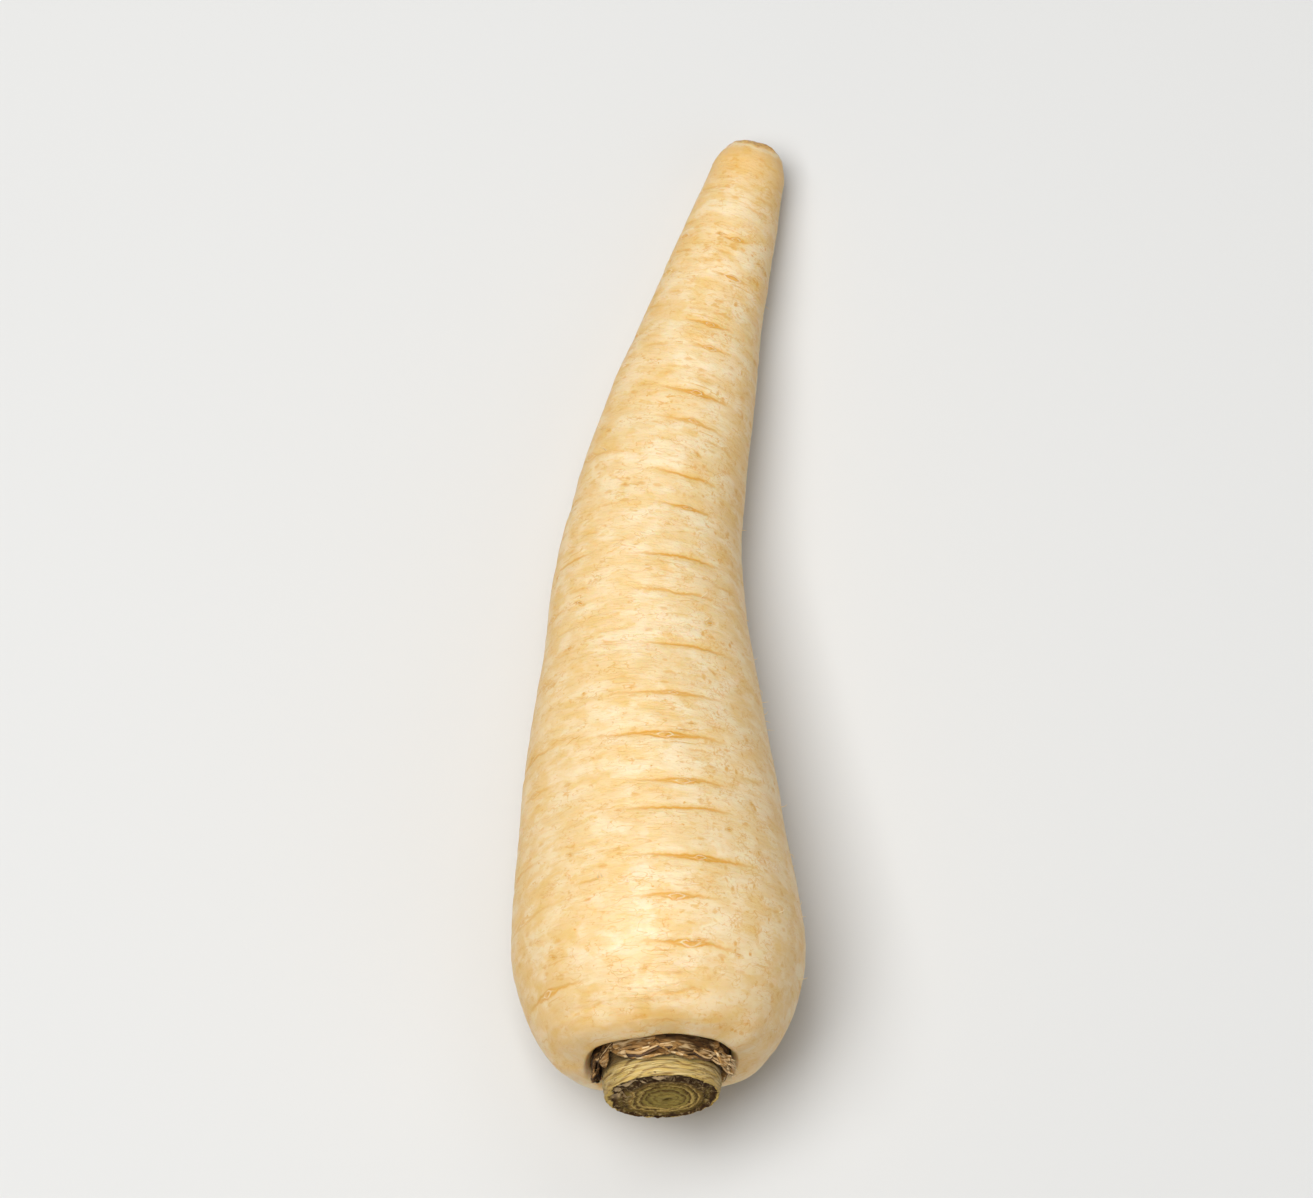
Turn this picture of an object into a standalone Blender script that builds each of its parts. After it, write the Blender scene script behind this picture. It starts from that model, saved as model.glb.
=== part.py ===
"""A topped parsnip lying on its side, in metres with +Z up.

The root tapers from its crown, which faces -Y, to a blunt tip at +Y that leans to +X. The cut stub of its
leaf stalks sits in the hollow of the crown, with the dry bases of its outer leaves round it. The origin is
on the surface that the parsnip lies on, under the middle of its bounding box.

Run it with: blender --background --python part.py
"""

import math

import bmesh
import bpy
from mathutils import Matrix, Vector

# Driving dimensions
ROOT_LENGTH = 0.1560  # from the tip to the top of the shoulder, along the bent axis
CROWN_RADIUS = 0.0224  # the root's widest half width
STUB_RADIUS = 0.0091  # the stalk stub where it leaves the crown
STUB_HEIGHT = 0.0105  # from the stub's base in the hollow of the crown to its cut face
GAP = 0.0003  # between pieces that touch

# The root's outline, in shares of ROOT_LENGTH from the tip and of CROWN_RADIUS from the axis
TIP_END = 0.09  # half width of the blunt end, where the thin tail broke off
TIP_TOP = (0.05, 0.275)  # where the rounding of the tip runs into the side
ROOT_SIDE = ((0.20, 0.40), (0.32, 0.52), (0.55, 0.70), (0.75, 0.90))
SHOULDER_START = 0.87  # where the root is widest and its shoulder starts to round
RIM = 0.585  # half width of the top of the shoulder
HOLLOW_TOP = 0.985  # where the rounding of the rim ends in the hollow's wall
HOLLOW_WIDTH = 0.51  # half width of the hollow
ARC_STEPS = 4  # on each rounded stretch
HOLLOW_FLOOR = 0.971  # share of ROOT_LENGTH at the bottom of the crown's hollow

# The bent axis from tip to crown, in shares of ROOT_LENGTH: (to the side, along, above the surface)
ROOT_AXIS = (
    (0.10, 0.00, 0.036),
    (0.032, 0.26, 0.065),
    (-0.004, 0.44, 0.089),
    (-0.007, 0.66, 0.119),
    (0.004, 0.98, 0.1605),
)

# Growth out of round: (part of the radius, waves round the root, turn in radians, waves along the root)
ROOT_LOBES = (
    (0.014, 2, 0.6, 0.4),
    (0.009, 3, 2.1, 0.9),
)

# The stub's outline from base to cut face: (share of STUB_HEIGHT, share of STUB_RADIUS)
STUB_OUTLINE = (
    (0.00, 0.97),
    (0.20, 1.00),
    (0.50, 1.00),
    (0.70, 0.96),
    (0.88, 0.93),
    (0.97, 0.91),
    (1.00, 0.87),
)
CUT_SLANT = math.radians(3)  # the cut face's lean, downwards

# The dry leaf bases: (name, middle of its arc and width of its arc in degrees, height, thickness)
LEAF_BASES = (
    ("dry_leaf_base_left", 168, 56, 0.0072, 0.0012),
    ("dry_leaf_base_top_left", 112, 46, 0.0064, 0.0011),
    ("dry_leaf_base_top_right", 61, 46, 0.0062, 0.0011),
    ("dry_leaf_base_right", 9, 50, 0.0070, 0.0012),
    ("dry_leaf_base_under_right", -48, 54, 0.0060, 0.0011),
    ("dry_leaf_base_under_left", -109, 56, 0.0064, 0.0011),
)
LEAF_BASE_CORNERS = 0.65  # height of a leaf base at the ends of its arc, as a share of its middle's

# How finely the solids are made
ROOT_STEPS = 44
STUB_STEPS = 32
OUTLINE_STEPS = 3  # on each span of an outline
AXIS_STEPS = 24  # on each span of the axis
LEAF_BASE_COLUMNS = 8
LEAF_BASE_ROWS = 3
MERGE = 0.00002

# Colour and roughness of each material
SKIN = ((0.86, 0.63, 0.33), 0.5)
STALK = ((0.42, 0.31, 0.13), 0.7)
HUSK = ((0.20, 0.12, 0.05), 0.85)


def clear_scene():
    for obj in list(bpy.data.objects):
        bpy.data.objects.remove(obj)


def make_collection(name):
    collection = bpy.data.collections.new(name)
    bpy.context.scene.collection.children.link(collection)
    return collection


def make_material(name, color, roughness):
    material = bpy.data.materials.new(name)
    material.use_nodes = True
    shader = material.node_tree.nodes["Principled BSDF"]
    shader.inputs["Base Color"].default_value = (*color, 1.0)
    shader.inputs["Roughness"].default_value = roughness
    shader.inputs["Metallic"].default_value = 0.0
    return material


def smooth_line(points, steps):
    """Points on a Catmull-Rom curve through the given ones, with so many steps to each span."""
    knots = [Vector(point) for point in points]
    knots = [2 * knots[0] - knots[1], *knots, 2 * knots[-1] - knots[-2]]
    line = []
    for before, start, end, after in zip(knots, knots[1:], knots[2:], knots[3:]):
        for step in range(steps):
            t = step / steps
            line.append(
                start
                + 0.5 * t * (end - before)
                + t * t * (before - 2.5 * start + 2 * end - 0.5 * after)
                + t * t * t * (1.5 * (start - end) + 0.5 * (after - before))
            )
    line.append(knots[-2])
    return line


def quarter_arc(centre, start, end):
    """Points on a quarter of an ellipse about a centre, from its start to its end."""
    centre, start, end = Vector(centre), Vector(start), Vector(end)
    turns = [math.pi / 2 * step / ARC_STEPS for step in range(ARC_STEPS + 1)]
    return [centre + (start - centre) * math.cos(turn) + (end - centre) * math.sin(turn) for turn in turns]


def root_outline():
    """The outline from the blunt tip over the shoulder and into the hollow of the crown."""
    tip = quarter_arc((TIP_TOP[0], TIP_END), (0.0, TIP_END), TIP_TOP)
    shoulder = quarter_arc((SHOULDER_START, RIM), (SHOULDER_START, 1.0), (1.0, RIM))
    lip = quarter_arc((HOLLOW_TOP, RIM), (1.0, RIM), (HOLLOW_TOP, HOLLOW_WIDTH))
    return [*tip, *ROOT_SIDE, *shoulder, *lip[1:]]


class BentAxis:
    """The root's axis, which gives a place and three directions at any distance from the tip."""

    def __init__(self):
        points = [Vector((side, -along, up)) for side, along, up in ROOT_AXIS]
        self.line = smooth_line([point * ROOT_LENGTH for point in points], AXIS_STEPS)
        self.reach = [0.0]
        for start, end in zip(self.line, self.line[1:]):
            self.reach.append(self.reach[-1] + (end - start).length)

    def at(self, distance):
        """The place, and the directions to the side, up and to the crown. Past its ends it runs straight."""
        last = len(self.line) - 1
        span = sum(1 for reach in self.reach[1:last] if reach < distance)
        start, end = self.line[span], self.line[span + 1]
        place = start + (end - start).normalized() * (distance - self.reach[span])
        before = self.line[max(span - AXIS_STEPS // 2, 0)]
        after = self.line[min(span + AXIS_STEPS // 2, last)]
        forward = (after - before).normalized()
        side = Vector((0, 0, 1)).cross(forward).normalized()
        return place, side, forward.cross(side), forward


def apply_modifiers(obj):
    graph = bpy.context.evaluated_depsgraph_get()
    obj.data = bpy.data.meshes.new_from_object(obj.evaluated_get(graph))
    obj.modifiers.clear()


def add_object(name, mesh, material, collection, parent):
    obj = bpy.data.objects.new(name, mesh)
    obj.parent = parent
    obj.data.materials.append(material)
    collection.objects.link(obj)
    return obj


def turned_object(name, outline, steps, material, collection, parent):
    """A closed solid turned about Z. The outline is (height, radius) pairs, going up its outer side."""
    points = [(radius, 0.0, height) for height, radius in reversed(outline)]
    edges = [(i, i + 1) for i in range(len(points) - 1)]
    profile = bpy.data.meshes.new(name)
    profile.from_pydata(points, edges, [])
    obj = add_object(name, profile, material, collection, parent)
    turn = obj.modifiers.new("turn", "SCREW")
    turn.steps = steps
    turn.render_steps = steps
    turn.use_merge_vertices = True
    turn.merge_threshold = MERGE
    apply_modifiers(obj)
    return obj


def lobed(share, angle):
    """How far the root's section is from round at a share of its length, as a factor on its radius."""
    factor = 1.0
    for part, waves, turn, along in ROOT_LOBES:
        factor += part * math.cos(waves * angle + turn + along * math.tau * share)
    return factor


def make_root(axis, material, collection, parent):
    """The root, turned upright with its crown on top, then laid on its axis and flat where it rests."""
    outline = [
        (along * ROOT_LENGTH, radius * CROWN_RADIUS)
        for along, radius in smooth_line(root_outline(), OUTLINE_STEPS)
    ]
    hollow = HOLLOW_FLOOR * ROOT_LENGTH
    outline = [(0.0, 0.0), *outline, (hollow, outline[-1][1]), (hollow, 0.0)]
    root = turned_object("root", outline, ROOT_STEPS, material, collection, parent)
    for vertex in root.data.vertices:
        x, y, distance = vertex.co
        place, side, up, _ = axis.at(distance)
        factor = lobed(distance / ROOT_LENGTH, math.atan2(y, x))
        vertex.co = place + (side * x + up * y) * factor
        vertex.co.z = max(vertex.co.z, 0.0)
    root.data.shade_smooth()
    return root


def make_crown(axis, collection, parent):
    """An empty at the bottom of the crown's hollow, whose +Z runs out of the crown and +Y upwards."""
    place, side, up, forward = axis.at(HOLLOW_FLOOR * ROOT_LENGTH)
    crown = bpy.data.objects.new("crown", None)
    collection.objects.link(crown)
    turn = Matrix((side, up, forward)).transposed()
    crown.parent = parent
    crown.location = place
    crown.rotation_euler = turn.to_euler()
    return crown


def make_stub(material, collection, crown):
    """The stub of the leaf stalks, standing in the hollow with its cut face outwards."""
    outline = [
        (along * STUB_HEIGHT, radius * STUB_RADIUS)
        for along, radius in smooth_line(STUB_OUTLINE, OUTLINE_STEPS)
    ]
    outline = [(0.0, 0.0), *outline, (STUB_HEIGHT, 0.0)]
    stub = turned_object("stalk_stub", outline, STUB_STEPS, material, collection, crown)
    for vertex in stub.data.vertices:
        share = vertex.co.z / STUB_HEIGHT
        vertex.co.z += vertex.co.y * math.tan(CUT_SLANT) * share
    stub.location.z = GAP
    stub.data.shade_smooth()
    stub.data.set_sharp_from_angle(angle=math.radians(40))
    return stub


def make_leaf_base(leaf_base, material, collection, crown):
    """One dry leaf base: a tongue bent round the stub, between it and the wall of the hollow."""
    name, middle, width, height, thickness = leaf_base
    tongue = bmesh.new()
    bmesh.ops.create_grid(
        tongue, x_segments=LEAF_BASE_COLUMNS, y_segments=LEAF_BASE_ROWS, size=0.5
    )
    radius = STUB_RADIUS + GAP
    for vertex in tongue.verts:
        across, upward = vertex.co.x, vertex.co.y + 0.5
        angle = math.radians(middle + width * across)
        tall = height * (LEAF_BASE_CORNERS + (1 - LEAF_BASE_CORNERS) * math.cos(math.pi * across))
        vertex.co = (radius * math.cos(angle), radius * math.sin(angle), tall * upward)
    mesh = bpy.data.meshes.new(name)
    tongue.to_mesh(mesh)
    tongue.free()
    obj = add_object(name, mesh, material, collection, crown)
    obj.location.z = GAP
    wall = obj.modifiers.new("wall", "SOLIDIFY")
    wall.thickness = thickness
    wall.offset = 1.0
    return obj


def centre_on_surface(parts, parent):
    """Moves the whole parsnip so that the origin lies under the middle of its bounding box."""
    bpy.context.view_layer.update()
    graph = bpy.context.evaluated_depsgraph_get()
    corners = [
        part.matrix_world @ vertex.co
        for part in parts
        for vertex in part.evaluated_get(graph).data.vertices
    ]
    for k in (0, 1):
        values = [corner[k] for corner in corners]
        parent.location[k] -= (min(values) + max(values)) / 2


def main():
    clear_scene()
    collection = make_collection("parsnip")
    parsnip = bpy.data.objects.new("parsnip", None)
    collection.objects.link(parsnip)
    skin = make_material("skin", *SKIN)
    stalk = make_material("stalk", *STALK)
    husk = make_material("husk", *HUSK)

    axis = BentAxis()
    parts = [make_root(axis, skin, collection, parsnip)]
    crown = make_crown(axis, collection, parsnip)
    parts.append(make_stub(stalk, collection, crown))
    for leaf_base in LEAF_BASES:
        parts.append(make_leaf_base(leaf_base, husk, collection, crown))
    centre_on_surface(parts, parsnip)


main()
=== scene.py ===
"""A whole raw parsnip, topped and lying on its side.

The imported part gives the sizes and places. Round them this makes the creased skin of the root, the cut
stub of the leaf stalks, the dry leaf bases with their frayed fibres, and the hair roots. Each is made by
its own operator, and the panel in the sidebar lists them.

Shapes are worked out straight and in millimetres: x to the right, y up and z away from the tip, along the
root. A bent axis then lays them in place, in metres.
"""

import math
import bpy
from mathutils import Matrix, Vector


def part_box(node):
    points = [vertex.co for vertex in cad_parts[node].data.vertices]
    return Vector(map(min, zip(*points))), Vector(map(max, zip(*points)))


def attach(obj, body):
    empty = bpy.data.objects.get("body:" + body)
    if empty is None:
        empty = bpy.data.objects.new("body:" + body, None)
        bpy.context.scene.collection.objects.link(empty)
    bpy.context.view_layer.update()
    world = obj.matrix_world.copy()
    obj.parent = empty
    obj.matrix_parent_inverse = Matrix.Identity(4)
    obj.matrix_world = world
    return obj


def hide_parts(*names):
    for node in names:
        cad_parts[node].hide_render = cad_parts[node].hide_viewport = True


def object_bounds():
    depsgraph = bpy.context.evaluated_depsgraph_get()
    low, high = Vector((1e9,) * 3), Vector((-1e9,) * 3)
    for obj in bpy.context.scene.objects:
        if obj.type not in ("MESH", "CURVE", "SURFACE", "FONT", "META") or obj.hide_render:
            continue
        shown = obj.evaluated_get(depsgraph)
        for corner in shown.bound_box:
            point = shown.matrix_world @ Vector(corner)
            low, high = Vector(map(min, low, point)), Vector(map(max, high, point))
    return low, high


bl_info = {
    "name": "Parsnip",
    "version": (1, 0, 0),
    "blender": (4, 5, 0),
    "location": "3D View > Sidebar > Parsnip",
    "description": "Makes a topped parsnip with creased skin, a cut stub and dry leaf bases",
    "category": "Object",
}

import bpy
import numpy as np
from bpy.props import FloatProperty, FloatVectorProperty, IntProperty, PointerProperty
from mathutils import Vector

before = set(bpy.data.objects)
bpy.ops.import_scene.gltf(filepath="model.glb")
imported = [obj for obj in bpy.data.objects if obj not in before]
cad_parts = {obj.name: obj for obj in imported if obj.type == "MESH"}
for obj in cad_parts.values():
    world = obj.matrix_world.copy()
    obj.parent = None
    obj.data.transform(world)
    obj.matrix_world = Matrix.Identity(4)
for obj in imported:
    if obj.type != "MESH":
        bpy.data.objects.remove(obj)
CAD_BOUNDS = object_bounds()
ROOT_LOW, ROOT_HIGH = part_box("root")

MM = 0.001
IMAGE_WIDTH, IMAGE_HEIGHT = 1313, 1198

# The root's outline, in shares of its length from the tip and of its half width from the axis
TIP_END = 0.09  # half width of the blunt end, where the thin tail broke off
TIP_TOP = (0.05, 0.275)  # where the rounding of the tip runs into the side
ROOT_SIDE = ((0.20, 0.40), (0.32, 0.52), (0.55, 0.70), (0.75, 0.90))
SHOULDER_START = 0.87  # where the root is widest and its shoulder starts to round
RIM = 0.56  # half width of the top of the shoulder
HOLLOW_TOP = 0.985  # where the rounding of the rim ends in the hollow's wall
HOLLOW_WIDTH = 0.475  # half width of the hollow
HOLLOW_FLOOR = 0.971  # share of the length at the bottom of the hollow
ARC_STEPS = 4  # on each rounded stretch
# The bent axis from tip to crown, in shares of the length: (to the side, along, above the surface)
ROOT_AXIS = (
    (0.10, 0.00, 0.036),
    (0.032, 0.26, 0.065),
    (-0.004, 0.44, 0.089),
    (-0.007, 0.66, 0.119),
    (0.004, 0.98, 0.1605),
)
AXIS_STEPS = 24
# Growth out of round: (part of the radius, waves round the root, turn in radians, waves along the root)
ROOT_LOBES = (
    (0.014, 2, 0.6, 0.4),
    (0.009, 3, 2.1, 0.9),
)
BENT_SHARE = 1.0057  # the root's length along its axis, as a share of its box
ROUND_SHARE = 0.5054  # the root's half width before it grows out of round, as a share of its box
CUT_SLANT = math.radians(-1.5)  # the top of the stub's cut leans back by this much

# The rows of creases that the fine roots grew from:
# (degrees round, scatter in degrees, mm between them, faintest and strongest, narrowest and widest in
# degrees)
CREASE_ROWS = (
    (76, 5, 6.6, 0.70, 1.00, 22, 40),
    (156, 7, 9.0, 0.35, 0.90, 16, 34),
    (243, 7, 7.0, 0.35, 0.90, 16, 34),
    (337, 7, 6.5, 0.35, 0.90, 16, 34),
)
EYE_SIZES = (0.0, 0.6, 0.8, 1.0, 1.2)  # of the eye in the middle of a crease, in mm
CREASE_REACH = 5.0  # how far along the root a crease moves the skin, in mm
NO_CREASE = (0.0, 9.0, 1.0)  # what a point keeps that no crease reaches: (across, along, half length)
SPOT_COUNT = 70  # separate marks on the skin
FINE_TRIES = 260  # places tried for the fine creases, which keep clear of the others
STAIN_COUNT = 42  # soft ochre patches
LEFT_FLANK = math.radians(175)  # the middle of the left flank, where the painted warm shade and reflected light are strongest
FLECKED_BAND = math.radians(46)  # the middle of the band with the most flecks

STAND_GAP = 0.3  # from the floor of the hollow to what stands in it, in mm
RIGHT_FIBRES = 0.65  # share of the frayed fibres that stick out on the right

FLOOR_REACH = 3.0  # half the width of the floor under the parsnip, in metres
FLOOR_DROP = 0.0002  # how far the floor lies below the parsnip, in metres
# The soft lights: (name, place, width and height in metres, the setting with its power)
LIGHTS = (
    ("key_light", (-0.31, -0.10, 1.25), (0.8, 0.8), "key"),
    ("fill_light", (0.9, -0.7, 0.9), (1.2, 1.2), "fill"),
    ("top_light", (0.15, 0.6, 1.2), (0.9, 0.5), "top"),
)


class Noise:
    """Smooth random values from -1 to 1 that fill space, the same on each run."""

    CELLS = 32

    def __init__(self, seed):
        self.table = np.random.default_rng(seed).uniform(-1, 1, (self.CELLS,) * 3)

    def at(self, points, size):
        """Values at an array of points, with features about so large, each way or (x, y, z)."""
        cells = np.asarray(points, float) / np.asarray(size, float)
        low = np.floor(cells).astype(int)
        part = cells - low
        part = part * part * (3 - 2 * part)
        total = 0.0
        for corner in np.ndindex(2, 2, 2):
            i, j, k = ((low[..., a] + corner[a]) % self.CELLS for a in range(3))
            weight = 1.0
            for a in range(3):
                weight = weight * (part[..., a] if corner[a] else 1 - part[..., a])
            total = total + weight * self.table[i, j, k]
        return total

    def layered(self, points, size, layers=3):
        """Values with finer and finer detail on the coarse ones."""
        size = np.asarray(size, float)
        return sum(self.at(points, size / 2**k) / 2**k for k in range(layers))


def smooth_step(low, high, values):
    t = np.clip((np.asarray(values, float) - low) / (high - low), 0, 1)
    return t * t * (3 - 2 * t)


def bump_of(values, width):
    """A smooth hump, 1 at 0 and gone a few widths away."""
    return np.exp(-np.square(values / width))


def wrapped(angles):
    """Angles in radians, brought to within half a turn of zero."""
    return np.remainder(angles + math.pi, math.tau) - math.pi


def round_axis(radius, angle, height):
    """Straight points, from how far they are from the axis, their angle round it and their height."""
    return np.stack([radius * np.cos(angle), radius * np.sin(angle), height], axis=-1)


def smooth_line(points, steps):
    """Points on a Catmull-Rom curve through the given ones, with so many steps to each span."""
    knots = np.array(points, float)
    knots = np.vstack([2 * knots[0] - knots[1], knots, 2 * knots[-1] - knots[-2]])
    t = np.arange(steps)[:, None] / steps
    line = [
        start
        + 0.5 * t * (end - before)
        + t**2 * (before - 2.5 * start + 2 * end - 0.5 * after)
        + t**3 * (1.5 * (start - end) + 0.5 * (after - before))
        for before, start, end, after in zip(knots, knots[1:], knots[2:], knots[3:])
    ]
    return np.vstack([*line, knots[-2]])


def quarter_arc(centre, start, end):
    """Points on a quarter of an ellipse about a centre, from its start to its end."""
    centre, start, end = np.array(centre), np.array(start), np.array(end)
    turns = np.linspace(0, math.pi / 2, ARC_STEPS + 1)[:, None]
    return centre + (start - centre) * np.cos(turns) + (end - centre) * np.sin(turns)


def root_outline():
    """The outline from the blunt tip over the shoulder and down to the floor of the crown's hollow."""
    tip = quarter_arc((TIP_TOP[0], TIP_END), (0.0, TIP_END), TIP_TOP)
    shoulder = quarter_arc((SHOULDER_START, RIM), (SHOULDER_START, 1.0), (1.0, RIM))
    lip = quarter_arc((HOLLOW_TOP, RIM), (1.0, RIM), (HOLLOW_TOP, HOLLOW_WIDTH))
    return np.vstack([tip, ROOT_SIDE, shoulder, lip[1:], (HOLLOW_FLOOR, HOLLOW_WIDTH)])


def evenly(line, count):
    """So many points at even distances along a line of points."""
    steps = np.linalg.norm(np.diff(line, axis=0), axis=1)
    reach = np.concatenate([[0], np.cumsum(steps)])
    wanted = np.linspace(0, reach[-1], count)
    return np.stack([np.interp(wanted, reach, line[:, k]) for k in range(line.shape[1])], axis=1)


class BentAxis:
    """The root's bent axis, which turns straight shapes in millimetres into placed ones in metres."""

    def __init__(self, length):
        line = smooth_line([(side, -along, up) for side, along, up in ROOT_AXIS], AXIS_STEPS)
        self.line = line * length
        last = len(line) - 1
        index = np.arange(last + 1)
        after = self.line[np.minimum(index + AXIS_STEPS // 2, last)]
        before = self.line[np.maximum(index - AXIS_STEPS // 2, 0)]
        self.forward = after - before
        self.forward /= np.linalg.norm(self.forward, axis=1)[:, None]
        self.side = np.cross((0, 0, 1), self.forward)
        self.side /= np.linalg.norm(self.side, axis=1)[:, None]
        self.up = np.cross(self.forward, self.side)
        steps = np.linalg.norm(np.diff(self.line, axis=0), axis=1)
        self.reach = np.concatenate([[0], np.cumsum(steps)])
        self.shift = np.zeros(3)

    def lay(self, straight):
        """Places straight points. Past its ends the axis runs straight."""
        straight = np.asarray(straight, float)
        distance = straight[..., 2]
        held = np.clip(distance, 0, self.reach[-1])

        def along(values):
            return np.stack([np.interp(held, self.reach, values[:, k]) for k in range(3)], axis=-1)

        placed = along(self.line) + along(self.forward) * (distance - held)[..., None]
        placed += along(self.side) * straight[..., 0:1] + along(self.up) * straight[..., 1:2]
        return placed * MM + self.shift


class RootForm:
    """The root's plain form: its axis, its outline and how far it is out of round, in millimetres."""

    def __init__(self, settings):
        self.length = settings.length / MM
        self.radius = settings.width * ROUND_SHARE / MM
        self.hollow = HOLLOW_FLOOR * self.length
        self.stand = self.hollow + STAND_GAP
        self.axis = BentAxis(self.length)
        outline = smooth_line(root_outline(), 6) * (self.length, self.radius)
        self.outline = np.vstack([(0, 0.05), outline])
        self.centre_in_frame()

    def centre_in_frame(self):
        """Moves the axis so that the plain form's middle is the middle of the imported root."""
        angles = np.linspace(0, math.tau, 90, endpoint=False)
        plain = self.axis.lay(turned(self.outline[:, 0], self.outline[:, 1], angles))
        for k in (0, 1):
            middle = (plain[..., k].min() + plain[..., k].max()) / 2
            self.axis.shift[k] = (ROOT_LOW[k] + ROOT_HIGH[k]) / 2 - middle

    def radius_at(self, distance):
        return np.interp(distance, self.outline[:, 0], self.outline[:, 1])

    def lobed(self, distance, angles):
        factor = 1.0
        for part, waves, turn, along in ROOT_LOBES:
            phase = turn + along * math.tau * distance / self.length
            factor = factor + part * np.cos(waves * angles + phase)
        return factor


def turned(heights, radii, angles):
    """Straight points of rings turned about z: one ring for each height."""
    radii, heights = np.broadcast_arrays(radii, heights)
    if radii.ndim == 1:
        radii, heights = radii[:, None], heights[:, None]
    x = radii * np.cos(angles)
    return np.stack([x, radii * np.sin(angles), heights + 0 * x], axis=-1)


def ring_faces(rings, around):
    """Quads between closed rings, facing outwards when the rings go up."""
    i, j = np.meshgrid(np.arange(rings - 1), np.arange(around), indexing="ij")
    right = (j + 1) % around
    corners = (i * around + j, i * around + right, (i + 1) * around + right, (i + 1) * around + j)
    return np.stack(corners, axis=-1).reshape(-1, 4)


def ring_solid(name, rings, start, end):
    """A closed mesh through rings of points, with a fan to the start point and one to the end point."""
    count, around = rings.shape[:2]
    points = np.vstack([rings.reshape(-1, 3), start, end])
    first, last = len(points) - 2, len(points) - 1
    faces = ring_faces(count, around).tolist()
    top = (count - 1) * around
    for j in range(around):
        right = (j + 1) % around
        faces.append((first, right, j))
        faces.append((last, top + j, top + right))
    mesh = bpy.data.meshes.new(name)
    mesh.from_pydata(points.tolist(), [], faces)
    mesh.shade_smooth()
    return mesh


def store(mesh, name, values):
    """Keeps a value or a vector for each point of a mesh, for its material to read."""
    values = np.asarray(values, np.float32)
    kind = "FLOAT" if values.ndim == 1 else "FLOAT_VECTOR"
    field = "value" if values.ndim == 1 else "vector"
    attribute = mesh.attributes.new(name, kind, "POINT")
    attribute.data.foreach_set(field, values.ravel())


def show(name, mesh, material, replaced=()):
    """Makes a piece of a mesh that is already in place."""
    piece = bpy.data.objects.new(name, mesh)
    bpy.context.scene.collection.objects.link(piece)
    mesh.materials.append(material)
    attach(piece, "root")
    if replaced:
        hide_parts(*replaced)
    return piece


# ---------------------------------------------------------------------------------------------- materials


def add_node(tree, kind, inputs=None, **settings):
    """A node with its settings, and with its inputs either linked or set."""
    node = tree.nodes.new(kind)
    for name, value in settings.items():
        setattr(node, name, value)
    for name, value in (inputs or {}).items():
        if isinstance(value, bpy.types.NodeSocket):
            tree.links.new(value, node.inputs[name])
        else:
            node.inputs[name].default_value = value
    return node


def calc(tree, operation, *values):
    inputs = dict(enumerate(values))
    return add_node(tree, "ShaderNodeMath", inputs, operation=operation).outputs[0]


def stepped(tree, value, low, high, to_low=0.0, to_high=1.0):
    """A value that goes smoothly from one level to another as the given one goes from low to high."""
    inputs = {"Value": value, "From Min": low, "From Max": high, "To Min": to_low, "To Max": to_high}
    node = add_node(tree, "ShaderNodeMapRange", inputs, interpolation_type="SMOOTHSTEP")
    return node.outputs["Result"]


def mixed(tree, factor, first, second):
    node = tree.nodes.new("ShaderNodeMix")
    node.data_type = "RGBA"
    for socket, value in ((node.inputs[0], factor), (node.inputs[6], first), (node.inputs[7], second)):
        if isinstance(value, bpy.types.NodeSocket):
            tree.links.new(value, socket)
        else:
            socket.default_value = value
    return node.outputs[2]


def scaled(tree, vector, factors):
    inputs = {0: vector, 1: factors}
    return add_node(tree, "ShaderNodeVectorMath", inputs, operation="MULTIPLY").outputs[0]


def kept_value(tree, name):
    return add_node(tree, "ShaderNodeAttribute", attribute_name=name).outputs["Fac"]


def kept_vector(tree, name):
    return add_node(tree, "ShaderNodeAttribute", attribute_name=name).outputs["Vector"]


def total(tree, *values):
    result = values[0]
    for value in values[1:]:
        result = calc(tree, "ADD", result, value)
    return result


def times(tree, *values):
    result = values[0]
    for value in values[1:]:
        result = calc(tree, "MULTIPLY", result, value)
    return result


def overlaid(tree, color, *layers):
    """A colour under others. A layer is its shade and the masks that multiply to its strength."""
    for shade, *masks in layers:
        color = mixed(tree, times(tree, *masks), color, (*shade, 1))
    return color


def new_group(name, labels, draw):
    """A shader group that turns a place, its stretch and some numbers into one mask."""
    group = bpy.data.node_groups.new(name, "ShaderNodeTree")
    for label in ("Place", "Stretch"):
        group.interface.new_socket(label, in_out="INPUT", socket_type="NodeSocketVector")
    for label in labels:
        group.interface.new_socket(label, in_out="INPUT", socket_type="NodeSocketFloat")
    group.interface.new_socket("Mask", in_out="OUTPUT", socket_type="NodeSocketFloat")
    given = group.nodes.new("NodeGroupInput").outputs
    mask = draw(group, given, scaled(group, given["Place"], given["Stretch"]))
    end = group.nodes.new("NodeGroupOutput")
    group.links.new(mask, end.inputs["Mask"])
    return group


def mask_of(tree, name, draw, place, stretch, **numbers):
    """The mask of a shader group, which is drawn when it is first asked for."""
    node = tree.nodes.new("ShaderNodeGroup")
    node.node_tree = bpy.data.node_groups.get(name) or new_group(name, numbers, draw)
    tree.links.new(place, node.inputs["Place"])
    node.inputs["Stretch"].default_value = stretch
    for label, value in numbers.items():
        node.inputs[label].default_value = value
    return node.outputs["Mask"]


def noise_value(group, given, place, distortion):
    inputs = {"Vector": place, "Scale": 1.0, "Detail": given["Detail"], "Distortion": distortion}
    return add_node(group, "ShaderNodeTexNoise", inputs).outputs["Fac"]


def draw_blotches(group, given, place):
    return stepped(group, noise_value(group, given, place, 0.4), given["From"], given["To"])


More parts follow.
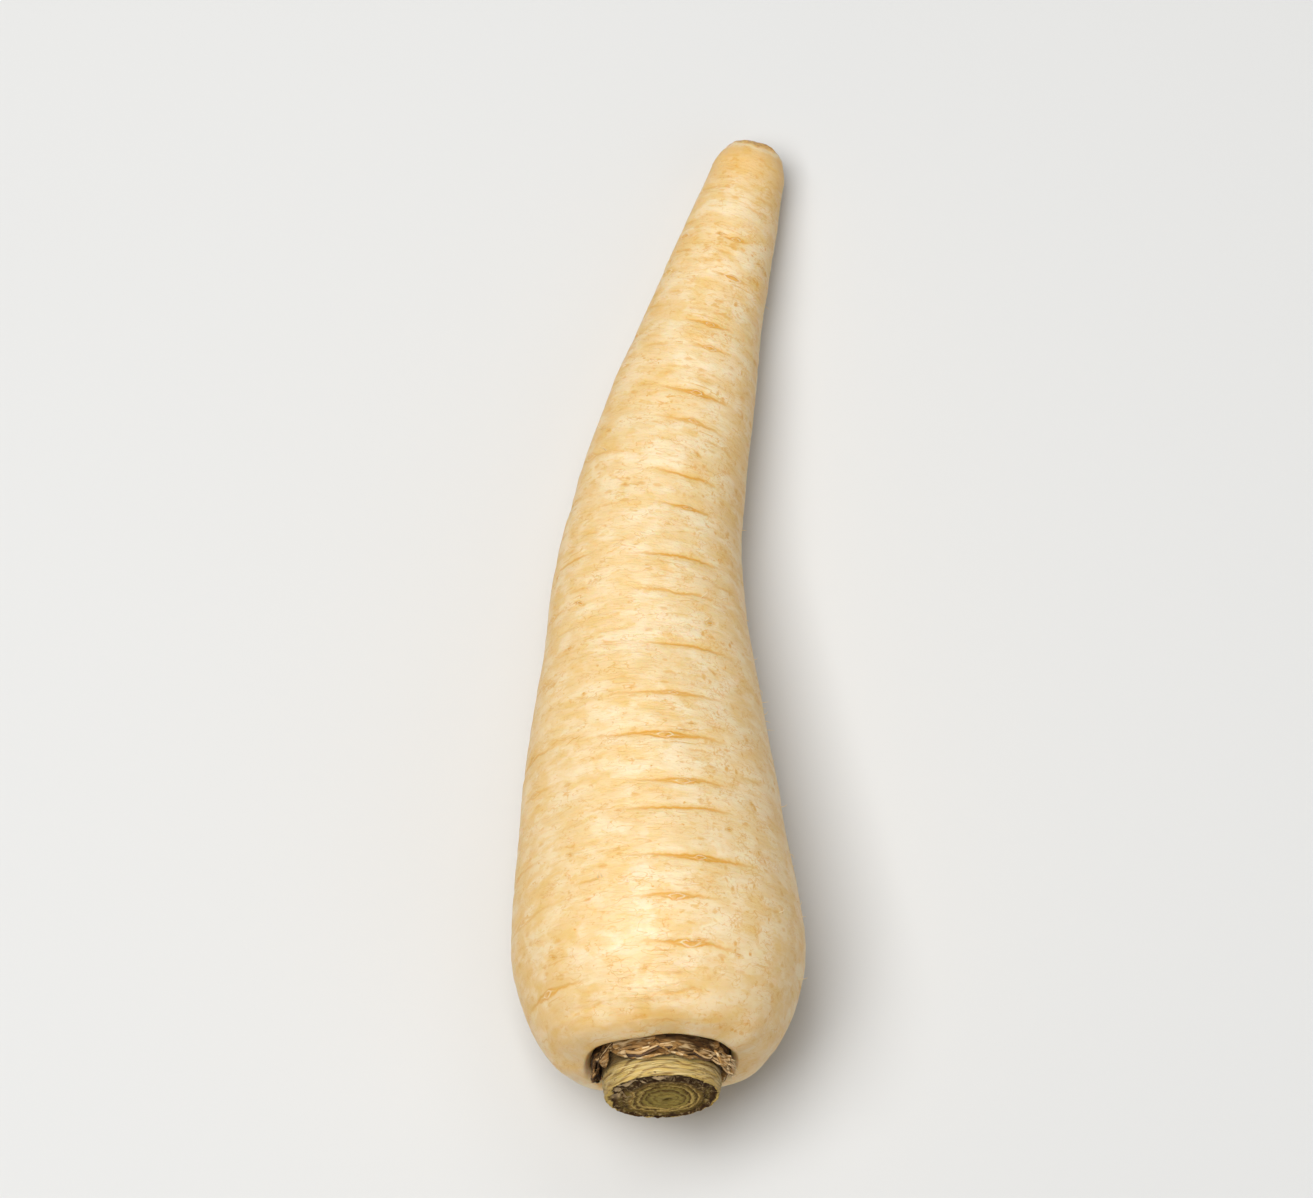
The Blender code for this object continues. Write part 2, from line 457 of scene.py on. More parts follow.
def draw_hairlines(group, given, place):
    away = calc(group, "SUBTRACT", noise_value(group, given, place, 0.5), 0.5)
    share = calc(group, "DIVIDE", calc(group, "ABSOLUTE", away), given["Width"])
    return stepped(group, share, 0.0, 1.0, 1.0, 0.0)


def draw_specks(group, given, place):
    bent = add_node(group, "ShaderNodeTexNoise", {"Vector": place, "Scale": 2.5, "Detail": 2.0})
    inputs = {0: bent.outputs["Color"], 1: (0.35, 0.35, 0.35), 2: place}
    nudged = add_node(group, "ShaderNodeVectorMath", inputs, operation="MULTIPLY_ADD").outputs[0]
    cells = add_node(group, "ShaderNodeTexVoronoi", {"Vector": nudged, "Scale": 1.0})
    chance = add_node(group, "ShaderNodeSeparateColor", {"Color": cells.outputs["Color"]})
    kept = calc(group, "LESS_THAN", chance.outputs[0], given["Share"])
    reach = times(group, given["Size"], stepped(group, chance.outputs[1], 0.0, 1.0, 0.5, 1.0))
    share = calc(group, "DIVIDE", cells.outputs["Distance"], reach)
    return times(group, kept, stepped(group, share, 0.35, 1.0, 1.0, 0.0))


def blotches(tree, place, stretch, low, high, detail=3.0):
    """Soft patches: where stretched noise lies between two levels."""
    return mask_of(tree, "Blotches", draw_blotches, place, stretch, Detail=detail, From=low, To=high)


def hairlines(tree, place, stretch, width, detail=1.0):
    """Fine wandering lines: where stretched noise is close to its middle value."""
    return mask_of(tree, "Hairlines", draw_hairlines, place, stretch, Detail=detail, Width=width)


def specks(tree, place, stretch, size, share):
    """Small separate marks, in a share of the cells of a stretched pattern."""
    return mask_of(tree, "Specks", draw_specks, place, stretch, Size=size, Share=share)


def new_material(name):
    material = bpy.data.materials.new(name)
    material.use_nodes = True
    tree = material.node_tree
    return material, tree, tree.nodes["Principled BSDF"]


def roughen(tree, shader, height, depth):
    """Raises the surface by a height from 0 to 1, so many millimetres deep."""
    bump = add_node(tree, "ShaderNodeBump", {"Height": height, "Strength": 1.0, "Distance": depth * MM})
    tree.links.new(bump.outputs["Normal"], shader.inputs["Normal"])


def crease_masks(tree):
    """The thin double line of each crease, its soft shade, and the pale rim and the core of its eye."""
    separate = add_node(tree, "ShaderNodeSeparateXYZ", {"Vector": kept_vector(tree, "crease_place")})
    across, off, half = separate.outputs
    place = kept_vector(tree, "straight")
    wobble = blotches(tree, place, (0.8, 0.8, 0.8), 0.25, 0.75)
    off = calc(tree, "ADD", off, calc(tree, "MULTIPLY_ADD", wobble, 0.28, -0.14))
    strength = kept_value(tree, "crease_strength")
    eye = kept_value(tree, "crease_eye")
    part = calc(tree, "DIVIDE", across, half)
    length = calc(tree, "ABSOLUTE", part)
    taper = times(tree, strength, stepped(tree, length, 0.15, 1.0, 1.0, 0.0))
    # the crease parts into two lines round its middle
    spread = calc(tree, "MULTIPLY", eye, stepped(tree, length, 0.0, 0.36, 0.40, 0.04))
    upper = calc(tree, "ABSOLUTE", calc(tree, "SUBTRACT", off, spread))
    lower = calc(tree, "ABSOLUTE", calc(tree, "ADD", off, spread))
    left = stepped(tree, part, 0.05, 0.65, 1.0, 0.12)
    right = stepped(tree, part, -0.65, -0.05, 0.12, 1.0)
    line = calc(
        tree,
        "MAXIMUM",
        times(tree, left, stepped(tree, upper, 0.06, 0.34, 1.0, 0.0)),
        times(tree, right, stepped(tree, lower, 0.06, 0.34, 1.0, 0.0)),
    )
    line = times(tree, taper, line)
    shade = times(tree, taper, stepped(tree, calc(tree, "ABSOLUTE", off), 0.1, 1.1, 1.0, 0.0))
    # the eye is a lens: its size is half its width
    wide = calc(tree, "DIVIDE", across, calc(tree, "MULTIPLY_ADD", eye, 1.25, 0.01))
    tall = calc(tree, "DIVIDE", calc(tree, "ABSOLUTE", off), calc(tree, "MULTIPLY_ADD", eye, 0.42, 0.01))
    lens = calc(tree, "SUBTRACT", calc(tree, "SUBTRACT", 1.0, times(tree, wide, wide)), tall)
    there = times(tree, strength, stepped(tree, eye, 0.15, 0.3))
    broken = stepped(tree, wobble, 0.15, 0.65, 0.35, 1.0)
    outside = stepped(tree, lens, -0.35, 0.05)
    rim = times(tree, there, broken, outside, stepped(tree, lens, 0.20, 0.45, 1.0, 0.0))
    core = times(tree, there, broken, stepped(tree, lens, 0.25, 0.55))
    return line, shade, rim, core


def skin_material(colors):
    material, tree, shader = new_material("parsnip_skin")
    place = kept_vector(tree, "straight")
    line, shade, rim, core = crease_masks(tree)

    large = blotches(tree, place, (0.09, 0.09, 0.20), 0.42, 0.68)
    streaks = blotches(tree, place, (0.20, 0.20, 0.65), 0.46, 0.70)
    cloud = blotches(tree, place, (0.26, 0.26, 0.40), 0.52, 0.66, 5.0)
    pale = blotches(tree, place, (0.22, 0.22, 0.36), 0.36, 0.66, 1.5)
    dapple = blotches(tree, place, (0.75, 0.75, 1.50), 0.56, 0.68, 4.0)
    ripples = blotches(tree, place, (0.50, 0.50, 2.10), 0.40, 0.66)
    wrinkles = hairlines(tree, place, (0.20, 0.20, 0.75), 0.014)
    wrinkled = blotches(tree, place, (0.16, 0.16, 0.30), 0.42, 0.58)
    curls = hairlines(tree, place, (0.55, 0.55, 1.10), 0.034, 2.0)
    curled = blotches(tree, place, (0.35, 0.35, 0.50), 0.50, 0.60, 4.0)
    rings = hairlines(tree, place, (0.95, 0.95, 1.20), 0.050)
    ringed = blotches(tree, place, (0.40, 0.40, 0.35), 0.49, 0.56, 4.0)
    marks = specks(tree, place, (0.42, 0.42, 0.90), 0.42, 0.26)
    flecks = specks(tree, place, (0.95, 0.95, 0.60), 0.55, 0.42)
    dots = specks(tree, place, (0.42, 0.42, 0.55), 0.15, 0.30)
    grain = blotches(tree, place, (2.0, 2.0, 3.6), 0.30, 0.70, 2.0)
    wrinkles = times(tree, wrinkles, wrinkled)
    curls = times(tree, curls, curled)
    split = add_node(tree, "ShaderNodeSeparateXYZ", {"Vector": place})
    flecks = calc(tree, "MAXIMUM", times(tree, rings, 0.60), flecks)
    flecks = times(tree, flecks, ringed, kept_value(tree, "flecked"))
    # painted shade on the flanks and the shoulder, broken up by the streaks
    flank = times(tree, kept_value(tree, "flank"), calc(tree, "MULTIPLY_ADD", streaks, 0.45, 0.75))
    stained_part = kept_value(tree, "stained")
    patch = times(tree, stained_part, calc(tree, "MULTIPLY_ADD", cloud, 0.60, 0.40))

    # pale streaks of the skin, faded where the flanks carry painted shade, which leaves the top painted
    # lighter
    lighter = times(tree, pale, calc(tree, "MULTIPLY_ADD", flank, -0.65, 0.90))
    tip = stepped(tree, split.outputs[2], 0.5, 16.0, 1.0, 0.0)
    color = overlaid(
        tree,
        (*colors.skin, 1),
        (colors.ochre, large, 0.28),
        # the stain colour laid on the flanks and the shoulder as painted shade
        (colors.stain, flank, 0.85),
        (colors.pale, lighter),
        (colors.ochre, patch),
        (colors.ochre, streaks, 0.28),
        (colors.ochre, cloud, 0.42),
        (colors.ochre, ripples, 0.12),
        (colors.ochre, dapple, 0.45),
        (colors.crease, wrinkles, 0.50),
        (colors.crease, curls, 0.48),
        (colors.crease, stained_part, dapple, 0.70),
        (colors.crease, flecks, 0.85),
        (colors.crease, marks, 0.42),
        (colors.crease, dots, 0.75),
        (colors.ochre, shade, 0.70),
        (colors.crease, line, 0.90),
        (colors.pale, rim, 0.70),
        (colors.crease, core, 0.85),
        (colors.speck, core, marks, 0.60),
        (colors.stain, tip, 0.60),
        (colors.pale, kept_value(tree, "scarred"), 0.55),
    )
    # stains on the broken end of the tip and round the rim of the hollow, and painted shade inside the
    # hollow
    broken = kept_value(tree, "broken")
    torn = blotches(tree, place, (2.2, 2.2, 2.2), 0.35, 0.60)
    end = mixed(tree, torn, (*colors.speck, 1), (*colors.stain, 1))
    color = mixed(tree, times(tree, broken, 0.65), color, end)
    # the inside of the hollow, painted very dark as painted shade in the recess
    hollow = kept_value(tree, "hollow")
    near = times(tree, kept_value(tree, "rim"), calc(tree, "MULTIPLY_ADD", streaks, 0.20, 0.12))
    color = overlaid(tree, color, (colors.stain, near), (colors.hollow, hollow, 0.95))
    tree.links.new(color, shader.inputs["Base Color"])

    rough = stepped(tree, grain, 0.0, 1.0, 0.40, 0.50)
    rougher = calc(tree, "MAXIMUM", times(tree, hollow, 0.3), times(tree, line, 0.2))
    rough = calc(tree, "ADD", rough, rougher)
    tree.links.new(rough, shader.inputs["Roughness"])
    height = total(
        tree,
        0.55,
        times(tree, line, -0.10),
        times(tree, rim, 0.12),
        times(tree, core, -0.05),
        times(tree, wrinkles, -0.05),
        times(tree, curls, -0.05),
        times(tree, grain, 0.04),
        times(tree, ripples, -0.06),
        times(tree, streaks, -0.06),
        times(tree, broken, torn, 0.5),
    )
    roughen(tree, shader, height, 0.45)
    shader.inputs["Subsurface Weight"].default_value = 0.45
    shader.inputs["Subsurface Radius"].default_value = (1.0, 0.48, 0.20)
    shader.inputs["Subsurface Scale"].default_value = 2.0 * MM
    shader.inputs["Specular IOR Level"].default_value = 0.42
    shader.inputs["Coat Weight"].default_value = 0.08
    shader.inputs["Coat Roughness"].default_value = 0.30
    return material


def stalk_material(colors):
    """The stub: ridged wall, and a cut face of rings that end in a dark dried edge."""
    material, tree, shader = new_material("cut_stalk")
    place = kept_vector(tree, "straight")
    cut = kept_value(tree, "cut")
    ridge = kept_value(tree, "ridge")
    ring = kept_value(tree, "ring")

    patches = blotches(tree, place, (0.30, 0.30, 0.50), 0.45, 0.65)
    fibres = blotches(tree, place, (0.30, 0.30, 4.0), 0.40, 0.62, 4.0)
    scratches = hairlines(tree, place, (0.13, 0.13, 1.7), 0.030, 2.0)
    # darker between the ridges: painted shade in the grooves
    wall = mixed(tree, stepped(tree, ridge, 0.05, 0.80), (*colors.groove, 1), (*colors.wall, 1))
    split = add_node(tree, "ShaderNodeSeparateXYZ", {"Vector": place})
    # painted shade: the wall darkens towards its left and right sides
    side = stepped(tree, calc(tree, "ABSOLUTE", split.outputs[0]), 4.0, 9.5)
    soil = specks(tree, place, (1.0, 1.0, 1.3), 0.30, 0.14)
    # painted shadow on the lower wall, under the edges of the dry leaf bases
    foot = stepped(tree, kept_value(tree, "height"), 0.60, 0.80, 1.0, 0.0)
    wall = overlaid(
        tree,
        wall,
        (colors.green, patches, 0.40),
        (colors.fibre, fibres, 0.75),
        (colors.groove, scratches, 0.55),
        (colors.groove, side, 0.40),
        (colors.shadow, soil, 0.75),
        (colors.shadow, foot, 0.85),
    )

    wander = blotches(tree, place, (0.9, 0.9, 0.9), 0.25, 0.75, 5.0)
    shifted = calc(tree, "ADD", ring, calc(tree, "MULTIPLY_ADD", wander, 0.06, -0.03))
    ramp = add_node(tree, "ShaderNodeValToRGB", {"Fac": shifted})
    bands = (
        (0.000, colors.heart),
        (0.040, colors.core),
        (0.150, colors.green),
        (0.200, colors.core),
        (0.245, colors.green),
        (0.330, colors.core),
        (0.355, colors.shadow),
        (0.385, colors.green),
        (0.440, colors.core),
        (0.465, colors.shadow),
        (0.495, colors.wall),
        (0.545, colors.core),
        (0.590, colors.shadow),
        (0.620, colors.wall),
        (0.650, colors.groove),
        (0.690, colors.core),
        (0.760, colors.shadow),
        (0.820, colors.core),
        (0.890, colors.shadow),
        (0.950, colors.dark),
        (0.972, colors.shadow),
        (0.988, colors.wall),
        (1.000, colors.wall),
    )
    elements = ramp.color_ramp.elements
    elements[0].position, elements[1].position = bands[0][0], bands[-1][0]
    elements[0].color, elements[1].color = (*bands[0][1], 1), (*bands[-1][1], 1)
    for position, shade in bands[1:-1]:
        elements.new(position).color = (*shade, 1)
    mottled = blotches(tree, place, (0.8, 0.8, 0.8), 0.45, 0.60, 5.0)
    bright = blotches(tree, place, (1.6, 1.6, 1.6), 0.52, 0.64, 4.0)
    # the dried edge is darkest at the top, and dry flakes lie on it there
    upper = stepped(tree, split.outputs[1], 0.5, 5.0)
    outer = times(tree, stepped(tree, ring, 0.56, 0.74), stepped(tree, ring, 0.93, 0.99, 1.0, 0.0))
    rot = specks(tree, place, (0.8, 0.8, 0.8), 0.60, 0.45)
    flakes = blotches(tree, place, (0.32, 0.70, 1.0), 0.50, 0.54, 5.0)
    leftward = stepped(tree, split.outputs[0], 2.5, -0.5)
    flaky = times(tree, flakes, outer, leftward, stepped(tree, split.outputs[1], -1.0, 2.0))
    face = overlaid(
        tree,
        ramp.outputs["Color"],
        (colors.shadow, mottled, 0.18),
        (colors.wall, bright, 0.25),
        (colors.dark, upper, outer, 0.75),
        (colors.flake, bright, outer, 0.26),
        (colors.dark, rot, stepped(tree, ring, 0.50, 0.8), 0.70),
        (colors.flake, flaky, 0.8),
        (colors.heart, kept_value(tree, "slit"), 0.75),
    )
    tree.links.new(mixed(tree, cut, wall, face), shader.inputs["Base Color"])

    tree.links.new(stepped(tree, cut, 0.0, 1.0, 0.58, 0.90), shader.inputs["Roughness"])
    height = total(
        tree,
        0.5,
        times(tree, fibres, 0.25),
        times(tree, scratches, -0.30),
        times(tree, mottled, cut, -0.22),
        times(tree, flaky, cut, 0.4),
    )
    roughen(tree, shader, height, 0.30)
    shader.inputs["Subsurface Weight"].default_value = 0.10
    shader.inputs["Subsurface Radius"].default_value = (1.0, 0.6, 0.2)
    shader.inputs["Subsurface Scale"].default_value = 1.0 * MM
    tree.links.new(stepped(tree, cut, 0.0, 1.0, 0.25, 0.05), shader.inputs["Specular IOR Level"])
    return material


def husk_material(colors):
    """Dry leaf: dark and fibrous, and paler towards its torn edge, with painted shadow under its rolled
    edge and painted shade in the troughs of its folds.
    """
    material, tree, shader = new_material("dry_leaf")
    place = kept_vector(tree, "straight")
    upward = kept_value(tree, "upward")
    tone = kept_value(tree, "tone")
    ridge = kept_value(tree, "ridge")
    patches = blotches(tree, place, (0.40, 0.40, 1.0), 0.42, 0.60)
    fibres = blotches(tree, place, (0.45, 0.45, 2.2), 0.46, 0.62)
    veins = hairlines(tree, place, (0.22, 0.22, 1.2), 0.022, 2.0)
    color = overlaid(tree, (*colors.dark, 1), (colors.brown, patches), (colors.tan, fibres, 0.50))
    edge = stepped(tree, upward, 0.76, 0.90)
    edge = times(tree, edge, calc(tree, "MULTIPLY_ADD", tone, 0.7, 0.12))
    light = calc(tree, "ADD", times(tree, tone, 0.75), edge)
    # painted shade in the troughs of the folds, and painted light on their crests
    light = times(tree, light, stepped(tree, ridge, 0.30, 0.72, 0.08, 1.15))
    pale = mixed(tree, stepped(tree, fibres, 0.2, 0.9), (*colors.tan, 1), (*colors.straw, 1))
    color = mixed(tree, calc(tree, "MINIMUM", light, 1.0), color, pale)
    # painted shadow on the sheet just under its rolled edge
    shadow_under_roll = times(tree, stepped(tree, upward, 0.45, 0.66), stepped(tree, upward, 0.70, 0.78, 1.0, 0.0))
    color = overlaid(
        tree,
        color,
        (colors.dark, veins, calc(tree, "MULTIPLY_ADD", tone, -0.5, 0.65)),
        (colors.dark, shadow_under_roll, calc(tree, "SUBTRACT", 0.9, tone)),
    )
    tree.links.new(color, shader.inputs["Base Color"])
    shader.inputs["Roughness"].default_value = 0.75
    ribs = total(tree, 0.5, times(tree, fibres, 0.3), times(tree, veins, -0.3))
    height = calc(tree, "ADD", ribs, times(tree, patches, 0.15))
    roughen(tree, shader, height, 0.25)
    shader.inputs["Specular IOR Level"].default_value = 0.2
    return material


def hair_material(name, root_color, end_color):
    """Fine fibres and hair roots, paler towards their ends."""
    material, tree, shader = new_material(name)
    place = kept_vector(tree, "straight")
    speckle = blotches(tree, place, (1.5, 1.5, 1.5), 0.35, 0.65)
    upward = kept_value(tree, "upward")
    color = overlaid(tree, (*root_color, 1), (end_color, upward), (root_color, speckle, 0.35))
    tree.links.new(color, shader.inputs["Base Color"])
    shader.inputs["Roughness"].default_value = 0.6
    roughen(tree, shader, speckle, 0.05)
    return material


def floor_material(color):
    material, tree, shader = new_material("pale_floor")
    place = add_node(tree, "ShaderNodeNewGeometry").outputs["Position"]
    cloud = blotches(tree, place, (3.0, 3.0, 3.0), 0.3, 0.7)
    darker = tuple(0.985 * part for part in color)
    tree.links.new(mixed(tree, cloud, (*color, 1), (*darker, 1)), shader.inputs["Base Color"])
    shader.inputs["Roughness"].default_value = 0.7
    shader.inputs["Specular IOR Level"].default_value = 0.2
    return material


# ------------------------------------------------------------------------------------------------- the root


def all_creases(form):
    """Every crease: (mm from the tip, radians round, half its length in mm, strength, eye, tilt, bow)."""
    draw = np.random.default_rng(41)
    creases = []
    for degrees, scatter, gap, faint, strong, narrow, wide in CREASE_ROWS:
        distance = draw.uniform(14, 20)
        while distance < 0.965 * form.length:
            angle = math.radians(degrees + draw.normal(0, scatter))
            half = math.radians(draw.uniform(narrow, wide)) * form.radius_at(distance)
            eye = draw.choice(EYE_SIZES)
            strength, tilt = draw.uniform(faint, strong), draw.normal(0, 0.018)
            creases.append((distance, angle, half, strength, eye, tilt, 0.0))
            distance += gap * draw.uniform(0.6, 1.5)
    for _ in range(SPOT_COUNT):
        distance, angle = draw.uniform(0.12, 0.96) * form.length, draw.uniform(0, math.tau)
        size, strength, tilt = draw.uniform(0.4, 0.95), draw.uniform(0.5, 1.0), draw.normal(0, 0.25)
        creases.append((distance, angle, 1.6 * size, strength, 0.6 * size, tilt, 0.0))
    taken = list(creases)
    for _ in range(FINE_TRIES):
        distance, angle = draw.uniform(8, 0.975 * form.length), draw.uniform(0, math.tau)
        half = draw.uniform(1.0, 3.6)
        strength, tilt, bow = draw.uniform(0.2, 0.55), draw.normal(0, 0.07), draw.normal(0, 0.02)
        radius = form.radius_at(distance)
        if all(
            abs(distance - other[0]) > 1.9
            or abs(math.remainder(angle - other[1], math.tau)) * radius > half + 0.8 * other[2]
            for other in taken
        ):
            taken.append((distance, angle, half, strength, 0.0, tilt, bow))
    return taken


def crease_skin(form, heights, radii, angles, around):
    """How far the creases sink the skin, and where each point is on the crease nearest to it."""
    wave = Noise(17)
    shape = (len(heights), around)
    sunk = np.zeros(shape)
    nearest = np.full(shape, 1e3)
    place = np.zeros((*shape, 3)) + NO_CREASE
    strength_of, eye_of = np.zeros(shape), np.zeros(shape)
    for number, (distance, angle, half, strength, eye, tilt, bow) in enumerate(all_creases(form)):
        rows = np.flatnonzero((np.abs(heights - distance) < CREASE_REACH) & (radii > 1.0))
        rows = rows[heights[rows] < 0.99 * form.length]
        rows = slice(rows[0], rows[-1] + 1)
        across = wrapped(angles - angle)[None, :] * radii[rows, None]
        wander = wave.at(np.stack([across / 3.0, 0 * across + number, 0 * across], axis=-1), 1.0)
        off = heights[rows, None] - distance - tilt * across - bow * across**2 - 0.22 * wander
        away = np.abs(off) + 0.4 * np.maximum(np.abs(across) - half, 0)
        taper = strength * (1 - smooth_step(0.35, 1.05, np.abs(across) / half))
        sunk[rows] += taper * (0.11 * bump_of(off, 1.7) + 0.04 * bump_of(off, 0.5))
        sunk[rows] -= 0.05 * taper * (bump_of(off - 1.6, 0.9) + bump_of(off + 1.6, 0.9))
        if eye:
            sunk[rows] -= 0.16 * strength * bump_of(across, 1.1 * eye) * bump_of(off, 0.55)
        take = away < nearest[rows]
        inside = (np.abs(off) < 1.5) & (np.abs(across) < 1.15 * half)
        nearest[rows] = np.where(take, away, nearest[rows])
        mine = np.stack([across, off, 0 * across + half], axis=-1)
        place[rows] = np.where(take[..., None], mine, place[rows])
        strength_of[rows] = np.where(take, strength * inside, strength_of[rows])
        eye_of[rows] = np.where(take, eye, eye_of[rows])
    return sunk, place, strength_of, eye_of


def stained(form, heights, radii, angles):
    """How strongly the soft patches stain each point."""
    draw = np.random.default_rng(43)
    stain = np.zeros((len(heights), len(angles)))
    for _ in range(STAIN_COUNT):
        distance, angle = draw.uniform(0.03, 0.97) * form.length, draw.uniform(0, math.tau)
        across, along, strength = draw.uniform(2.5, 5.5), draw.uniform(1.5, 5.0), draw.uniform(0.4, 0.9)
        spread = bump_of(wrapped(angles - angle)[None, :] * radii[:, None], across)
        spread = spread * bump_of(heights - distance, along)[:, None]
        stain = np.maximum(stain, strength * spread)
    return stain


def build_root(settings, colors):
    form = RootForm(settings)
    around = settings.around
    profile = evenly(form.outline, settings.rings)
    heights, radii = profile[:, 0], profile[:, 1]
    slope = np.gradient(profile, axis=0)
    slope /= np.linalg.norm(slope, axis=1)[:, None]
    angles = np.linspace(0, math.tau, around, endpoint=False)
    straight = turned(heights, radii, angles)

    sunk, place, strength, eye = crease_skin(form, heights, radii, angles, around)
    coarse, fine = Noise(3), Noise(5)
    share = heights / form.length
    body = (smooth_step(3, 14, heights) * (1 - smooth_step(0.95, 1.0, share)))[:, None]
    swell = 0.30 * coarse.at(straight, (16, 16, 13)) + 0.20 * coarse.at(straight + 40, (9, 9, 6.5))
    waist = coarse.at(np.stack([0 * heights, 0 * heights, heights], axis=-1), 7.5)[:, None]
    rise = settings.swell / MM * (swell + 0.16 * waist) * (0.35 + 0.65 * body)
    rise = rise + 0.035 * fine.layered(straight, (2.6, 2.6, 1.2), 2) * body
    rise = rise - settings.crease_depth / MM * sunk / 0.3

    # the tip is broken off: its end is uneven, and its edge is ragged
    end = 1 - smooth_step(0.0, 3.2, heights)[:, None]
    edge = bump_of(radii - 4.2, 1.4)[:, None] * end
    rise = rise + end * 0.35 * fine.layered(straight, 2.2, 3)
    rise = rise + edge * 0.30 * fine.at(straight + 9, (1.2, 1.2, 3))
    # the shoulder rolls unevenly into the hollow
    after_top = np.arange(len(heights)) > np.argmax(heights)
    within = (radii < 0.80 * form.radius) & (heights > 0.9 * form.length)
    rim = bump_of(heights - form.length, 3.5) * within
    rise = rise + rim[:, None] * 0.42 * coarse.at(straight + 15, (5.5, 5.5, 9))

    raised, widened = rise * -slope[:, 1:], rise * slope[:, :1]
    moved = turned(heights[:, None] + raised, radii[:, None] + widened, angles)
    moved[..., :2] *= form.lobed(moved[..., 2], angles[None, :])[..., None]
    square = 1 - 0.035 * np.cos(4 * angles)[None, :] * rim[:, None]
    moved[..., :2] *= square[..., None]
    placed = form.axis.lay(moved)
    placed[..., 2] = np.maximum(placed[..., 2], 0.0)
    tip = form.axis.lay(np.array([[0.0, 0.0, moved[0, :, 2].mean()]]))
    floor = form.axis.lay(np.array([[0.0, 0.0, form.hollow]]))
    mesh = ring_solid("root_skin", placed, tip, floor)

    def keep(name, values, ends):
        values = np.asarray(values, float)
        flat = values.reshape(len(heights) * around, -1)
        flat = np.vstack([flat, np.asarray(ends, float).reshape(2, -1)])
        store(mesh, name, flat if flat.shape[1] > 1 else flat[:, 0])

    keep("straight", straight, [(0, 0, 0), (0, 0, form.hollow)])
    keep("crease_place", place, [NO_CREASE, NO_CREASE])
    keep("crease_strength", strength, (0, 0))
    keep("crease_eye", eye, (0, 0))
    # Painted shade round the root: warm on the left flank, with painted reflected light there, darker on
    # the lower side and the right side, and on the shoulder round the crown
    leftward = bump_of(wrapped(angles - LEFT_FLANK), 0.95)
    low_side = smooth_step(0.3, -0.6, np.sin(angles))
    rightward = smooth_step(0.50, 1.0, np.cos(angles))
    painted_side_shade = np.maximum(leftward, np.maximum(0.45 * low_side, 0.85 * rightward))
    crown = 0.55 * smooth_step(0.92, 0.99, share)
    keep("flank", np.maximum(painted_side_shade[None, :], crown[:, None]), (0, 0))
    band = bump_of(wrapped(angles - FLECKED_BAND), 0.42)
    keep("flecked", (0.12 + 0.88 * band)[None, :] + 0 * rise, (0, 0))
    keep("stained", stained(form, heights, radii, angles), (0, 0))
    scar = heights[:, None] - 0.9 - 0.8 * np.sin(angles)[None, :]
    scar = scar - 0.45 * fine.layered(straight + 70, 1.6, 3)
    keep("broken", 1 - smooth_step(-0.25, 0.25, scar), (1, 0))
    keep("scarred", bump_of(scar - 0.55, 0.5), (0, 0))
    # the inside of the hollow below its rim, which the skin paints dark as painted shade
    inner = after_top * smooth_step(-0.6, -1.9, heights - form.length)
    keep("hollow", inner[:, None] + 0 * rise, (0, 1))
    keep("rim", rim[:, None] + 0 * rise, (0, 0))
    show("root_skin", mesh, skin_material(colors), ["root"])


# ------------------------------------------------------------------------------------------------- the stub


